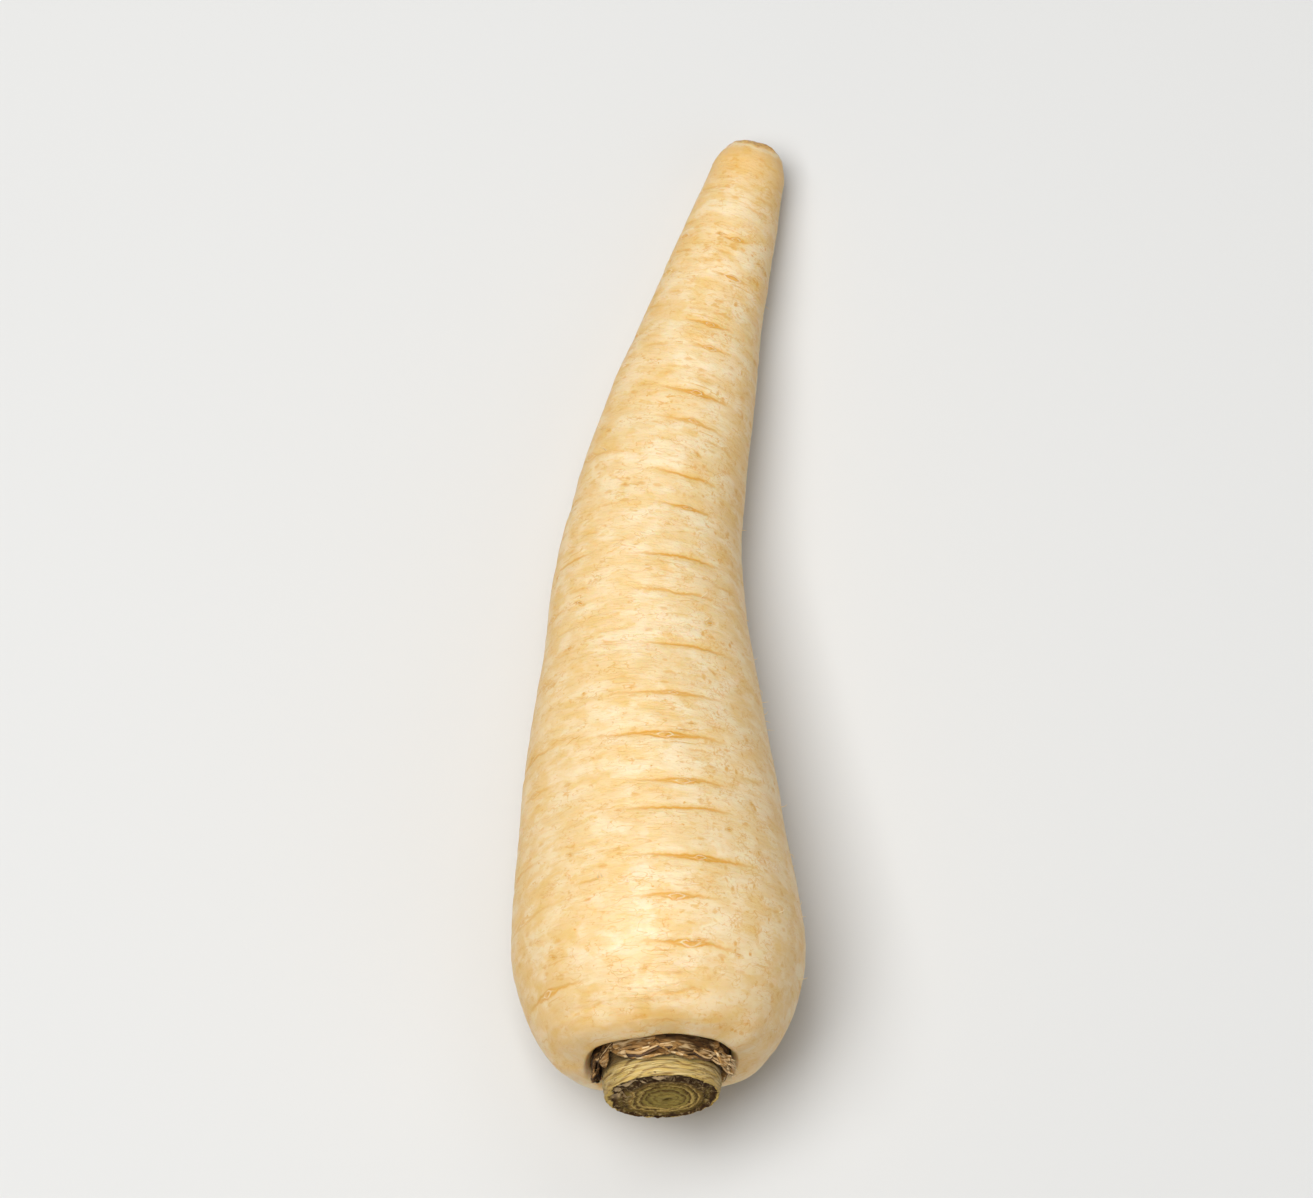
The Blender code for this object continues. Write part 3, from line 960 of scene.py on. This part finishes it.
def build_stub(form, settings, colors):
    """The stub's cut face and wall, in millimetres from the bottom of the hollow."""
    around, grain = settings.around, Noise(11)
    tall = settings.height / MM
    base = settings.width / MM / 2
    angles = np.linspace(0, math.tau, around, endpoint=False)
    wall_outline = ((0.00, 0.99), (0.20, 1.00), (0.50, 1.00), (0.70, 1.00), (0.85, 0.985), (0.95, 0.965))
    wall = evenly(smooth_line(wall_outline, 6) * (tall, base), settings.wall_rings)
    rim = np.array([(tall * 0.975, base * 0.957), (tall * 0.99, base * 0.950), (tall, base * 0.942)])
    shares = np.linspace(1, 0, settings.face_rings + 1)[1:-1]

    # wall: ridges that wander, part and meet
    height, radius = np.vstack([wall, rim]).T
    straight = turned(height, radius, angles)
    lift = (
        height[:, None]
        + 0.80 * np.sin(2 * angles + 0.7)
        + 0.40 * np.sin(3 * angles + 2.0)
        + 1.5 * grain.layered(straight, (9, 9, 5), 3)
    )
    saw = np.remainder(lift / 0.85, 1.0)
    ridge = smooth_step(0.0, 0.55, saw) * (1 - smooth_step(0.88, 1.0, saw))
    fibre = grain.layered(straight + 30, (4.5, 4.5, 0.50), 3)
    uneven = 0.6 + 0.5 * grain.at(straight + 60, (4, 4, 1.6))
    proud = 0.26 * (ridge - 0.5) * uneven * smooth_step(0.1, 0.4, height / tall)[:, None] + 0.15 * fibre
    ragged = smooth_step(0.93, 1.0, height / tall)[:, None]
    circle = round_axis(base, angles, 0 * angles)
    teeth = grain.layered(circle, 0.8, 3)
    proud = proud * (1 - 0.6 * ragged) + ragged * (0.07 * teeth + 0.10 * grain.at(circle + 9, 3.0))
    slant = math.tan(CUT_SLANT)
    wall_points = turned(height[:, None], radius[:, None] + proud, angles)
    wall_points[..., 2] += wall_points[..., 1] * slant * (height / tall)[:, None] + ragged * 0.08 * teeth

    # cut face, as rings round a heart that is off the middle
    reach = shares[:, None]
    heart = np.array((0.8, -1.6)) * (base / 9.1)
    rim_radius = radius[-1] + proud[-1]
    x = reach * rim_radius * np.cos(angles) + (1 - reach) * heart[0]
    y = reach * rim_radius * np.sin(angles) + (1 - reach) * heart[1]
    flat = np.stack([x, y, 0 * x], axis=-1)
    ring = reach + 0.050 * grain.at(flat, (4.5, 4.5, 4)) + 0.02 * np.sin(2 * angles + 1.0) * reach
    ring = ring + 0.030 * grain.at(flat + 20, (1.8, 1.8, 2)) * smooth_step(0.3, 0.8, reach)
    grooves = np.zeros_like(ring)
    for place, width, depth in (
        (0.225, 0.020, 0.06),
        (0.355, 0.020, 0.09),
        (0.465, 0.022, 0.12),
        (0.590, 0.024, 0.14),
        (0.800, 0.030, 0.20),
    ):
        grooves += depth * bump_of(ring - place, width)
    dried = smooth_step(0.70, 0.80, ring) * (1 - smooth_step(0.95, 0.99, ring))
    relief = 0.05 * np.cos(ring * 60) * smooth_step(0.08, 0.2, ring) - grooves
    relief = relief - dried * (0.12 + 0.30 * grain.layered(flat + 7, 1.3, 3))
    relief = relief + 0.14 * grain.layered(flat + 50, 2.0, 3)
    along, beside = x - heart[0], y - heart[1]
    slit = np.maximum(0, 1 - np.hypot(along / 0.95, (beside - 0.25 * along) / 0.40))
    relief = relief - 0.35 * smooth_step(0.0, 0.6, slit)
    blend = smooth_step(1.0, 0.95, reach)
    lip = 0.08 * teeth[None, :] * (1 - smooth_step(1.0, 0.93, reach))
    face_height = tall + y * slant + relief * blend + lip
    face_points = np.stack([x, y, face_height], axis=-1)

    points = np.concatenate([wall_points, face_points])
    kept = points.copy()
    points[..., 2] += form.stand
    start = form.axis.lay(np.array([[0.0, 0.0, form.stand]]))
    centre = np.array([[heart[0], heart[1], 0.0]])
    end = centre + (0, 0, points[-1, :, 2].mean())
    mesh = ring_solid("stalk_stub_cut", form.axis.lay(points), start, form.axis.lay(end))

    def keep(name, wall_values, face_values, ends):
        both = np.concatenate([wall_values + 0 * proud, face_values + 0 * relief]).ravel()
        store(mesh, name, np.concatenate([both, ends]))

    store(mesh, "straight", np.vstack([kept.reshape(-1, 3), [(0, 0, 0)], centre + (0, 0, tall)]))
    keep("ridge", ridge, 0.6, (0, 0.6))
    keep("height", (height / tall)[:, None], 1.0, (0, 1))
    keep("ring", 1.0, ring, (1, 0))
    cut = np.zeros(len(height))
    cut[-1] = 1.0
    keep("cut", cut[:, None], 1.0, (0, 1))
    keep("slit", 0.0, smooth_step(0.05, 0.5, slit), (0, 1))
    show("stalk_stub_cut", mesh, stalk_material(colors), ["stalk_stub"])


# ------------------------------------------------------------------------------------------ dry leaf bases

# The sheets of each dry leaf base: (middle and width of its arc in degrees, then in mm its radius at the
# foot and at the edge, its height, raggedness, crumpling and outward curl, and last its paleness)
LEAF_SHEETS = {
    "dry_leaf_base_left": (
        (176, 62, 10.0, 10.3, 6.4, 0.9, 0.40, 0.0, 0.02),
        (147, 22, 9.9, 10.1, 6.9, 0.6, 0.30, 0.1, 0.30),
        (166, 36, 9.2, 9.9, 7.0, 1.2, 0.60, 0.6, 0.03),
        (190, 36, 9.2, 9.8, 6.5, 1.0, 0.55, 0.5, 0.03),
    ),
    "dry_leaf_base_top_left": (
        (112, 60, 9.9, 10.0, 6.6, 0.4, 0.35, 0.0, 0.30),
        (114, 38, 10.2, 10.1, 6.8, 0.4, 0.10, 0.1, 0.85),
        (104, 52, 9.2, 9.5, 7.2, 0.7, 0.40, 1.0, 0.50),
    ),
    "dry_leaf_base_top_right": (
        (66, 62, 10.0, 10.2, 6.6, 0.5, 0.40, 0.0, 0.28),
        (84, 34, 9.7, 9.9, 6.8, 0.6, 0.40, 0.5, 0.35),
        (63, 56, 9.2, 9.5, 7.2, 0.7, 0.40, 0.9, 0.48),
    ),
    "dry_leaf_base_right": (
        (8, 56, 10.0, 10.3, 6.4, 0.8, 0.40, 0.0, 0.08),
        (28, 24, 9.5, 10.0, 7.5, 0.9, 0.40, 0.7, 0.95),
        (8, 44, 9.2, 9.8, 6.9, 1.2, 0.50, 0.8, 0.45),
    ),
    "dry_leaf_base_under_right": (
        (-48, 58, 9.9, 10.3, 5.8, 0.7, 0.35, 0.0, 0.20),
        (-42, 46, 9.1, 9.5, 6.8, 0.9, 0.40, 0.7, 0.50),
    ),
    "dry_leaf_base_under_left": (
        (-109, 64, 9.9, 10.3, 5.9, 0.7, 0.35, 0.0, 0.15),
        (-118, 50, 9.1, 9.6, 6.9, 0.9, 0.40, 0.7, 0.45),
    ),
}
# The rolled ridges across the dry leaf bases: (thickness in mm, degrees from and to, mm up, waves,
# height of a wave in mm)
LEAF_RIDGES = (
    (0.30, 120, 84, 5.4, 0.8, 0.6),
    (0.20, 94, 62, 4.8, 1.0, 0.4),
    (0.20, 62, 36, 5.8, 0.6, 0.6),
    (0.16, 164, 134, 4.0, 0.7, 0.7),
    (0.18, 16, -24, 5.2, 1.2, 0.5),
    (0.20, -38, -82, 5.5, 1.1, 0.4),
    (0.18, -98, -142, 5.4, 1.2, 0.4),
    (0.16, 202, 180, 5.1, 0.8, 0.4),
)
RIDGE_RADIUS = 10.25  # from the axis to the ridges, in mm
SHEET_COLUMNS, SHEET_ROWS = 84, 34
SHEET_REACH = 10.9  # no dry leaf reaches further than the wall of the hollow
ROLL_TURN = math.radians(210)  # how far the edge of a dry leaf rolls over


def leaf_sheet(sheet, number):
    """Points of one sheet, and how far up it, how pale and how raised each of them is."""
    middle, width, foot, edge, tall, ragged, crumple, curl, tone = sheet
    noise = Noise(100 + number)
    across = np.linspace(-0.5, 0.5, SHEET_COLUMNS)
    upward = np.linspace(0, 1, SHEET_ROWS)[:, None]
    wander = 7 * noise.layered(upward * (0, 0, 6.0) + 50, 1.5, 2)[:, None]
    angle = np.radians(middle + (width + wander) * across[None, :] + 0 * upward)
    shape = round_axis(foot, angle, tall * upward + 0 * angle)
    torn = 0.8 * noise.layered(shape[-1] * (1, 1, 0), 3.5, 2) + 0.2 * noise.layered(shape[-1], 0.9, 3)
    drop = 0.40 - 0.22 * curl
    top = tall * (1 - drop + drop * np.cos(math.pi * across)) + torn * ragged
    top = np.maximum(top, 2.5)
    height = top[None, :] * upward
    folds = noise.layered(np.stack([shape[..., 0], shape[..., 1], height], axis=-1), (3.0, 3.0, 1.6), 3)
    radius = foot + (edge - foot) * upward + crumple * folds * smooth_step(0.2, 0.8, upward)
    # the edge is rolled outwards
    roll = ROLL_TURN * smooth_step(0.74, 1.0, upward)
    thick = curl * (0.32 + 0.20 * noise.at(shape + 5, (2.5, 2.5, 9)))
    radius = radius + thick * (1 - np.cos(roll)) + 0.10 * roll * noise.at(shape + 25, (1.2, 1.2, 9))
    radius = np.minimum(radius, SHEET_REACH)
    height = height + thick * np.sin(roll) - 0.35 * curl * roll / ROLL_TURN
    points = round_axis(radius, angle, height)
    # the last is the height of the folds, which the dry leaf's colour turns into painted shade and light
    return points, upward + 0 * angle, tone + 0 * angle, 0.5 + 0.5 * folds


def build_leaf_bases(form, settings, colors):
    material = husk_material(colors)
    number = 0
    for name, sheets in LEAF_SHEETS.items():
        points, faces, values, first = [], [], [], 0
        for sheet in sheets:
            grid, *fields = leaf_sheet(sheet, number)
            number += 1
            points.append(grid.reshape(-1, 3))
            values.append(np.stack([field.ravel() for field in fields], axis=1))
            i, j = np.meshgrid(np.arange(SHEET_ROWS - 1), np.arange(SHEET_COLUMNS - 1), indexing="ij")
            corner = first + i * SHEET_COLUMNS + j
            above = corner + SHEET_COLUMNS
            quads = np.stack([corner, corner + 1, above + 1, above], axis=-1)
            faces += quads.reshape(-1, 4).tolist()
            first += SHEET_ROWS * SHEET_COLUMNS
        straight = np.vstack(points)
        values = np.vstack(values)
        placed = form.axis.lay(straight + (0, 0, form.stand))
        mesh = bpy.data.meshes.new(name + "_torn")
        mesh.from_pydata(placed.tolist(), [], faces)
        mesh.shade_smooth()
        store(mesh, "straight", straight)
        for label, column in zip(("upward", "tone", "ridge"), values.T):
            store(mesh, label, column)
        piece = show(name + "_torn", mesh, material, [name])
        wall = piece.modifiers.new("thickness", "SOLIDIFY")
        wall.thickness = settings.thickness
        wall.offset = 0.0


# ------------------------------------------------------------------------------------ fibres and hair roots


def tube(path, radii, sides=6):
    """Rings of points round a path, from its root to its end."""
    ahead = np.gradient(path, axis=0)
    ahead /= np.linalg.norm(ahead, axis=1)[:, None]
    helper = np.array((0.31, 0.17, 0.93))
    first = np.cross(ahead, helper)
    first /= np.linalg.norm(first, axis=1)[:, None]
    second = np.cross(ahead, first)
    turns = np.linspace(0, math.tau, sides, endpoint=False)
    around = np.cos(turns)[None, :, None] * first[:, None] + np.sin(turns)[None, :, None] * second[:, None]
    return path[:, None] + radii[:, None, None] * around


def strands(name, form, paths, radius, material):
    """One piece of many tapered strands. The paths are straight points in millimetres."""
    points, faces, upward, first, sides = [], [], [], 0, 6
    for path, thick in zip(paths, radius):
        count = len(path)
        taper = thick * (1 - 0.85 * np.linspace(0, 1, count) ** 1.5)
        rings = tube(path, taper, sides)
        points.append(rings.reshape(-1, 3))
        faces += (ring_faces(count, sides) + first).tolist()
        faces.append([first + k for k in reversed(range(sides))])
        faces.append([first + (count - 1) * sides + k for k in range(sides)])
        upward.append(np.repeat(np.linspace(0, 1, count), sides))
        first += count * sides
    straight = np.vstack(points)
    mesh = bpy.data.meshes.new(name)
    placed = form.axis.lay(straight)
    placed[:, 2] = np.maximum(placed[:, 2], 0.0)
    mesh.from_pydata(placed.tolist(), [], faces)
    mesh.shade_smooth()
    store(mesh, "straight", straight)
    store(mesh, "upward", np.concatenate(upward))
    return show(name, mesh, material)


def build_fibres(form, settings, colors):
    """Frayed fibres that stick out of the dry leaf bases, most of them on the right, the rolled ridges
    across the leaf bases, and dark strands under the ridges as painted shadow.
    """
    draw = np.random.default_rng(23)
    paths, thick = [], []
    for number in range(settings.count):
        right = number < settings.count * RIGHT_FIBRES
        degrees = draw.normal(27, 10) if right else draw.uniform(35, 325)
        angle = math.radians(degrees)
        length = draw.uniform(1.0, 2.6) if right else draw.uniform(0.7, 1.6)
        lean = draw.uniform(0.3, 1.3)
        start_radius, start_height = draw.uniform(9.4, 10.2), draw.uniform(4.6, 6.2)
        t = np.linspace(0, 1, 9)
        curl, twist = draw.normal(-0.3, 0.9), draw.normal(-0.4, 0.8)
        radius = start_radius + length * (0.55 * t * math.sin(lean) + 0.2 * t**2)
        turn = angle + (twist * t + curl * t**2) * length / 12
        height = form.hollow + start_height + length * math.cos(lean) * (t - 0.35 * t**2)
        paths.append(round_axis(radius, turn, height))
        thick.append(draw.uniform(0.12, 0.26) if right else draw.uniform(0.06, 0.12))
    wave = Noise(29)
    folds, shadow_strand_thick = [], []
    for wide, start, end, up, waves, swing in LEAF_RIDGES:
        t = np.linspace(0, 1, 44)
        angle = np.radians(start + (end - start) * t)
        height = up + swing * np.sin(math.tau * waves * t)
        run = np.stack([RIDGE_RADIUS * angle, 0 * angle, 0 * angle + wide * 90], axis=-1)
        wander = wave.layered(run, 1.4, 2)
        radius = RIDGE_RADIUS + 0.10 * wander
        height = form.stand + height + 0.18 * wander
        paths.append(round_axis(radius, angle, height))
        thick.append(wide)
        # a dark strand runs along each ridge, beyond it and closer to the axis: painted shadow under the
        # ridge
        radius = radius - 0.10
        height = height + 1.5 * wide
        folds.append(round_axis(radius, angle, height))
        shadow_strand_thick.append(wide)
    fibre = hair_material("torn_fibre", colors.tan, colors.straw)
    # the dark strands are painted shadow
    shadow_strand_material = hair_material("dark_fold", colors.dark, colors.brown)
    strands("torn_fibres", form, paths, thick, fibre)
    strands("dark_folds", form, folds, shadow_strand_thick, shadow_strand_material)


def build_hair_roots(form, settings, colors):
    """Short hair roots that grow out of the creases."""
    draw = np.random.default_rng(31)
    paths, thick = [], []
    creases = [crease for crease in all_creases(form) if crease[3] > 0.45]
    for number in range(settings.count):
        distance, angle, half = creases[draw.integers(len(creases))][:3]
        radius = form.radius_at(distance)
        angle = angle + draw.uniform(-0.8, 0.8) * half / radius
        if number % 2 == 0:
            angle = draw.normal(0.0, 0.08)
            distance = draw.uniform(0.42, 0.92) * form.length
            radius = form.radius_at(distance)
        length, bend = draw.uniform(0.5, 1.6), draw.normal(0, 0.9)
        t = np.linspace(0, 1, 8)
        out = radius - 0.4 + (length + 0.4) * (t - 0.35 * abs(bend) * t**2)
        turn = angle + 0.35 * bend * t**2 * length / radius
        height = distance + length * 0.6 * bend * t**2
        paths.append(round_axis(out * form.lobed(distance, angle), turn, height))
        thick.append(draw.uniform(0.05, 0.09))
    material = hair_material("hair_root", colors.skin, colors.pale)
    strands("hair_roots", form, paths, thick, material)


# ----------------------------------------------------------------------------------------------- the stage


def look_at(thing, target):
    thing.rotation_euler = (target - thing.location).to_track_quat("-Z", "Y").to_euler()


def soft_light(name, place, target, size, power):
    light = bpy.data.lights.new(name, "AREA")
    light.shape = "RECTANGLE"
    light.size, light.size_y = size
    light.energy = power
    lamp = bpy.data.objects.new(name, light)
    lamp.location = place
    lamp.visible_camera = False
    bpy.context.scene.collection.objects.link(lamp)
    look_at(lamp, target)


def build_stage(settings):
    scene = bpy.context.scene
    low, high = (Vector(corner) for corner in CAD_BOUNDS)
    middle = (low + high) / 2
    mesh = bpy.data.meshes.new("floor")
    corners = ((-1, -1), (1, -1), (1, 1), (-1, 1))
    points = [(x * FLOOR_REACH, y * FLOOR_REACH, -FLOOR_DROP) for x, y in corners]
    mesh.from_pydata(points, [], [(0, 1, 2, 3)])
    floor = bpy.data.objects.new("floor", mesh)
    scene.collection.objects.link(floor)
    mesh.materials.append(floor_material(settings.floor))

    for name, place, size, power in LIGHTS:
        soft_light(name, place, middle, size, getattr(settings, power))
    world = bpy.data.worlds.new("studio")
    world.use_nodes = True
    background = world.node_tree.nodes["Background"]
    background.inputs["Color"].default_value = (1.0, 0.99, 0.97, 1)
    background.inputs["Strength"].default_value = settings.ambient
    scene.world = world
    scene.view_settings.view_transform = "Standard"

    camera = bpy.data.cameras.new("camera")
    camera.sensor_fit = "HORIZONTAL"
    camera.sensor_width = 36.0
    height_shown = (high.y - low.y) * math.sin(settings.elevation) / settings.filled
    camera.lens = camera.sensor_width * settings.distance / (height_shown * IMAGE_WIDTH / IMAGE_HEIGHT)
    camera.clip_start = 0.01
    eye = bpy.data.objects.new("camera", camera)
    away = Vector((0, -math.cos(settings.elevation), math.sin(settings.elevation)))
    eye.location = middle + away * settings.distance
    scene.collection.objects.link(eye)
    look_at(eye, middle)
    scene.camera = eye


# ------------------------------------------------------------------------------------------------ settings


def color_property(name, description, default):
    return FloatVectorProperty(
        name=name, description=description, default=default, min=0.0, max=1.0, size=3, subtype="COLOR"
    )


def length_property(name, description, default):
    return FloatProperty(name=name, description=description, default=default, unit="LENGTH")


class ParsnipRoot(bpy.types.PropertyGroup):
    length: length_property(
        "Length", "Length of the root along its bent axis", (ROOT_HIGH.y - ROOT_LOW.y) * BENT_SHARE
    )
    width: length_property("Width", "Width of the root across its crown", ROOT_HIGH.x - ROOT_LOW.x)
    crease_depth: length_property("Crease depth", "Depth of the deepest creases", 0.00032)
    swell: length_property("Swell", "How far the skin swells between its waists", 0.001)
    rings: IntProperty(name="Rings", description="Rings of faces along the root", default=510)
    around: IntProperty(name="Faces round", description="Faces round the root", default=192)


class ParsnipSkinColors(bpy.types.PropertyGroup):
    skin: color_property("Skin", "The root's cream skin", (0.845, 0.655, 0.375))
    pale: color_property("Pale", "The palest streaks and the rims of the eyes", (0.890, 0.755, 0.515))
    ochre: color_property("Ochre", "Stained streaks and patches", (0.790, 0.520, 0.165))
    # the stain colour also paints the shade on the flanks and the shoulder
    stain: color_property("Stain", "The flanks, the tip and the rim of the hollow", (0.760, 0.435, 0.090))
    crease: color_property("Crease", "The bottom of the creases", (0.710, 0.335, 0.030))
    speck: color_property("Speck", "Specks, eyes and the broken tip", (0.560, 0.205, 0.018))
    # the hollow colour is painted shade inside the recess
    hollow: color_property("Hollow", "The inside of the crown's hollow", (0.080, 0.040, 0.012))


class ParsnipStub(bpy.types.PropertyGroup):
    height: length_property("Height", "Height of the stub above its foot", 0.0094)
    width: length_property("Width", "Width of the stub", 0.0178)
    wall_rings: IntProperty(name="Wall rings", description="Rings of faces up the wall", default=90)
    face_rings: IntProperty(name="Face rings", description="Rings of faces on the cut", default=100)
    around: IntProperty(name="Faces round", description="Faces round the stub", default=256)


class ParsnipStalkColors(bpy.types.PropertyGroup):
    wall: color_property("Wall", "Ridges of the wall", (0.620, 0.430, 0.130))
    fibre: color_property("Fibre", "Pale fibres", (0.760, 0.590, 0.270))
    # the groove colour paints the shade in the wall's grooves and on its left and right sides, and colours
    # the fine scratches
    groove: color_property("Groove", "Between the ridges", (0.290, 0.165, 0.045))
    green: color_property("Green", "Still green parts", (0.350, 0.262, 0.065))
    core: color_property("Core", "The middle of the cut", (0.205, 0.138, 0.034))
    # the shadow colour also paints the shadow on the foot of the wall
    shadow: color_property("Shadow", "Between the rings of the cut", (0.098, 0.053, 0.019))
    dark: color_property("Dark", "The dried edge of the cut", (0.034, 0.016, 0.009))
    flake: color_property("Flake", "Dry flakes on the cut", (0.620, 0.440, 0.240))
    heart: color_property("Heart", "The slit in the middle of the cut", (0.050, 0.040, 0.004))


class ParsnipLeafBases(bpy.types.PropertyGroup):
    thickness: length_property("Thickness", "Thickness of a dry leaf", 0.00028)
    count: IntProperty(name="Fibres", description="Frayed fibres", default=46)


class ParsnipHuskColors(bpy.types.PropertyGroup):
    # the dark colour also paints the shadow under the rolled edges and colours the dark strands of painted
    # shadow under the ridges
    dark: color_property("Dark", "The darkest dry leaf", (0.028, 0.011, 0.003))
    brown: color_property("Brown", "Dry leaf", (0.190, 0.085, 0.020))
    tan: color_property("Tan", "Paler dry leaf", (0.450, 0.250, 0.080))
    straw: color_property("Straw", "Torn edges and fibres", (0.830, 0.620, 0.340))


class ParsnipHairRoots(bpy.types.PropertyGroup):
    count: IntProperty(name="Hair roots", description="Hair roots on the skin", default=40)


class ParsnipStage(bpy.types.PropertyGroup):
    floor: color_property("Floor", "The floor's colour", (0.68, 0.68, 0.67))
    key: FloatProperty(name="Key light", description="Power of the key light in watts", default=17.2)
    fill: FloatProperty(name="Fill light", description="Power of the fill light in watts", default=2.0)
    top: FloatProperty(name="Top light", description="Power of the top light in watts", default=2.0)
    ambient: FloatProperty(name="Ambient", description="Light from all round", default=0.18)
    elevation: FloatProperty(
        name="Elevation",
        description="How steeply the camera looks down",
        default=math.radians(73),
        unit="ROTATION",
    )
    distance: length_property("Distance", "From the camera", 1.2)
    filled: FloatProperty(
        name="Filled", description="Share of the picture's height that the parsnip fills", default=0.84
    )


# ------------------------------------------------------------------------------------- operators and panel


class PARSNIP_OT_root(bpy.types.Operator):
    """Make the root with its creased skin"""

    bl_idname = "parsnip.root"
    bl_label = "Root"

    def execute(self, context):
        build_root(context.scene.parsnip_root, context.scene.parsnip_skin_colors)
        return {"FINISHED"}


class PARSNIP_OT_stub(bpy.types.Operator):
    """Make the cut stub of the leaf stalks"""

    bl_idname = "parsnip.stub"
    bl_label = "Stalk stub"

    def execute(self, context):
        scene = context.scene
        build_stub(RootForm(scene.parsnip_root), scene.parsnip_stub, scene.parsnip_stalk_colors)
        return {"FINISHED"}


class PARSNIP_OT_leaf_bases(bpy.types.Operator):
    """Make the dry leaf bases round the stub, and their frayed fibres"""

    bl_idname = "parsnip.leaf_bases"
    bl_label = "Dry leaf bases"

    def execute(self, context):
        scene = context.scene
        form = RootForm(scene.parsnip_root)
        build_leaf_bases(form, scene.parsnip_leaf_bases, scene.parsnip_husk_colors)
        build_fibres(form, scene.parsnip_leaf_bases, scene.parsnip_husk_colors)
        return {"FINISHED"}


class PARSNIP_OT_hair_roots(bpy.types.Operator):
    """Make the hair roots on the skin"""

    bl_idname = "parsnip.hair_roots"
    bl_label = "Hair roots"

    def execute(self, context):
        scene = context.scene
        build_hair_roots(RootForm(scene.parsnip_root), scene.parsnip_hair_roots, scene.parsnip_skin_colors)
        return {"FINISHED"}


class PARSNIP_OT_stage(bpy.types.Operator):
    """Make the floor, the lights and the camera"""

    bl_idname = "parsnip.stage"
    bl_label = "Stage"

    def execute(self, context):
        build_stage(context.scene.parsnip_stage)
        return {"FINISHED"}


class PARSNIP_PT_maker(bpy.types.Panel):
    bl_idname = "PARSNIP_PT_maker"
    bl_label = "Parsnip"
    bl_space_type = "VIEW_3D"
    bl_region_type = "UI"
    bl_category = "Parsnip"

    def draw(self, context):
        for operator, groups in STEPS:
            box = self.layout.box()
            for group in groups:
                settings = getattr(context.scene, group)
                for name in type(settings).__annotations__:
                    box.prop(settings, name)
            box.operator(operator.bl_idname)


SETTINGS = {
    "parsnip_root": ParsnipRoot,
    "parsnip_skin_colors": ParsnipSkinColors,
    "parsnip_stub": ParsnipStub,
    "parsnip_stalk_colors": ParsnipStalkColors,
    "parsnip_leaf_bases": ParsnipLeafBases,
    "parsnip_husk_colors": ParsnipHuskColors,
    "parsnip_hair_roots": ParsnipHairRoots,
    "parsnip_stage": ParsnipStage,
}
STEPS = (
    (PARSNIP_OT_root, ("parsnip_root", "parsnip_skin_colors")),
    (PARSNIP_OT_stub, ("parsnip_stub", "parsnip_stalk_colors")),
    (PARSNIP_OT_leaf_bases, ("parsnip_leaf_bases", "parsnip_husk_colors")),
    (PARSNIP_OT_hair_roots, ("parsnip_hair_roots",)),
    (PARSNIP_OT_stage, ("parsnip_stage",)),
)


def register():
    for name, group in SETTINGS.items():
        bpy.utils.register_class(group)
        setattr(bpy.types.Scene, name, PointerProperty(type=group))
    for operator, _ in STEPS:
        bpy.utils.register_class(operator)
    bpy.utils.register_class(PARSNIP_PT_maker)


def unregister():
    bpy.utils.unregister_class(PARSNIP_PT_maker)
    for operator, _ in reversed(STEPS):
        bpy.utils.unregister_class(operator)
    for name, group in reversed(SETTINGS.items()):
        delattr(bpy.types.Scene, name)
        bpy.utils.unregister_class(group)


def main():
    register()
    bpy.ops.parsnip.root()
    bpy.ops.parsnip.stub()
    bpy.ops.parsnip.leaf_bases()
    bpy.ops.parsnip.hair_roots()
    bpy.ops.parsnip.stage()


if __name__ == "__main__":
    main()
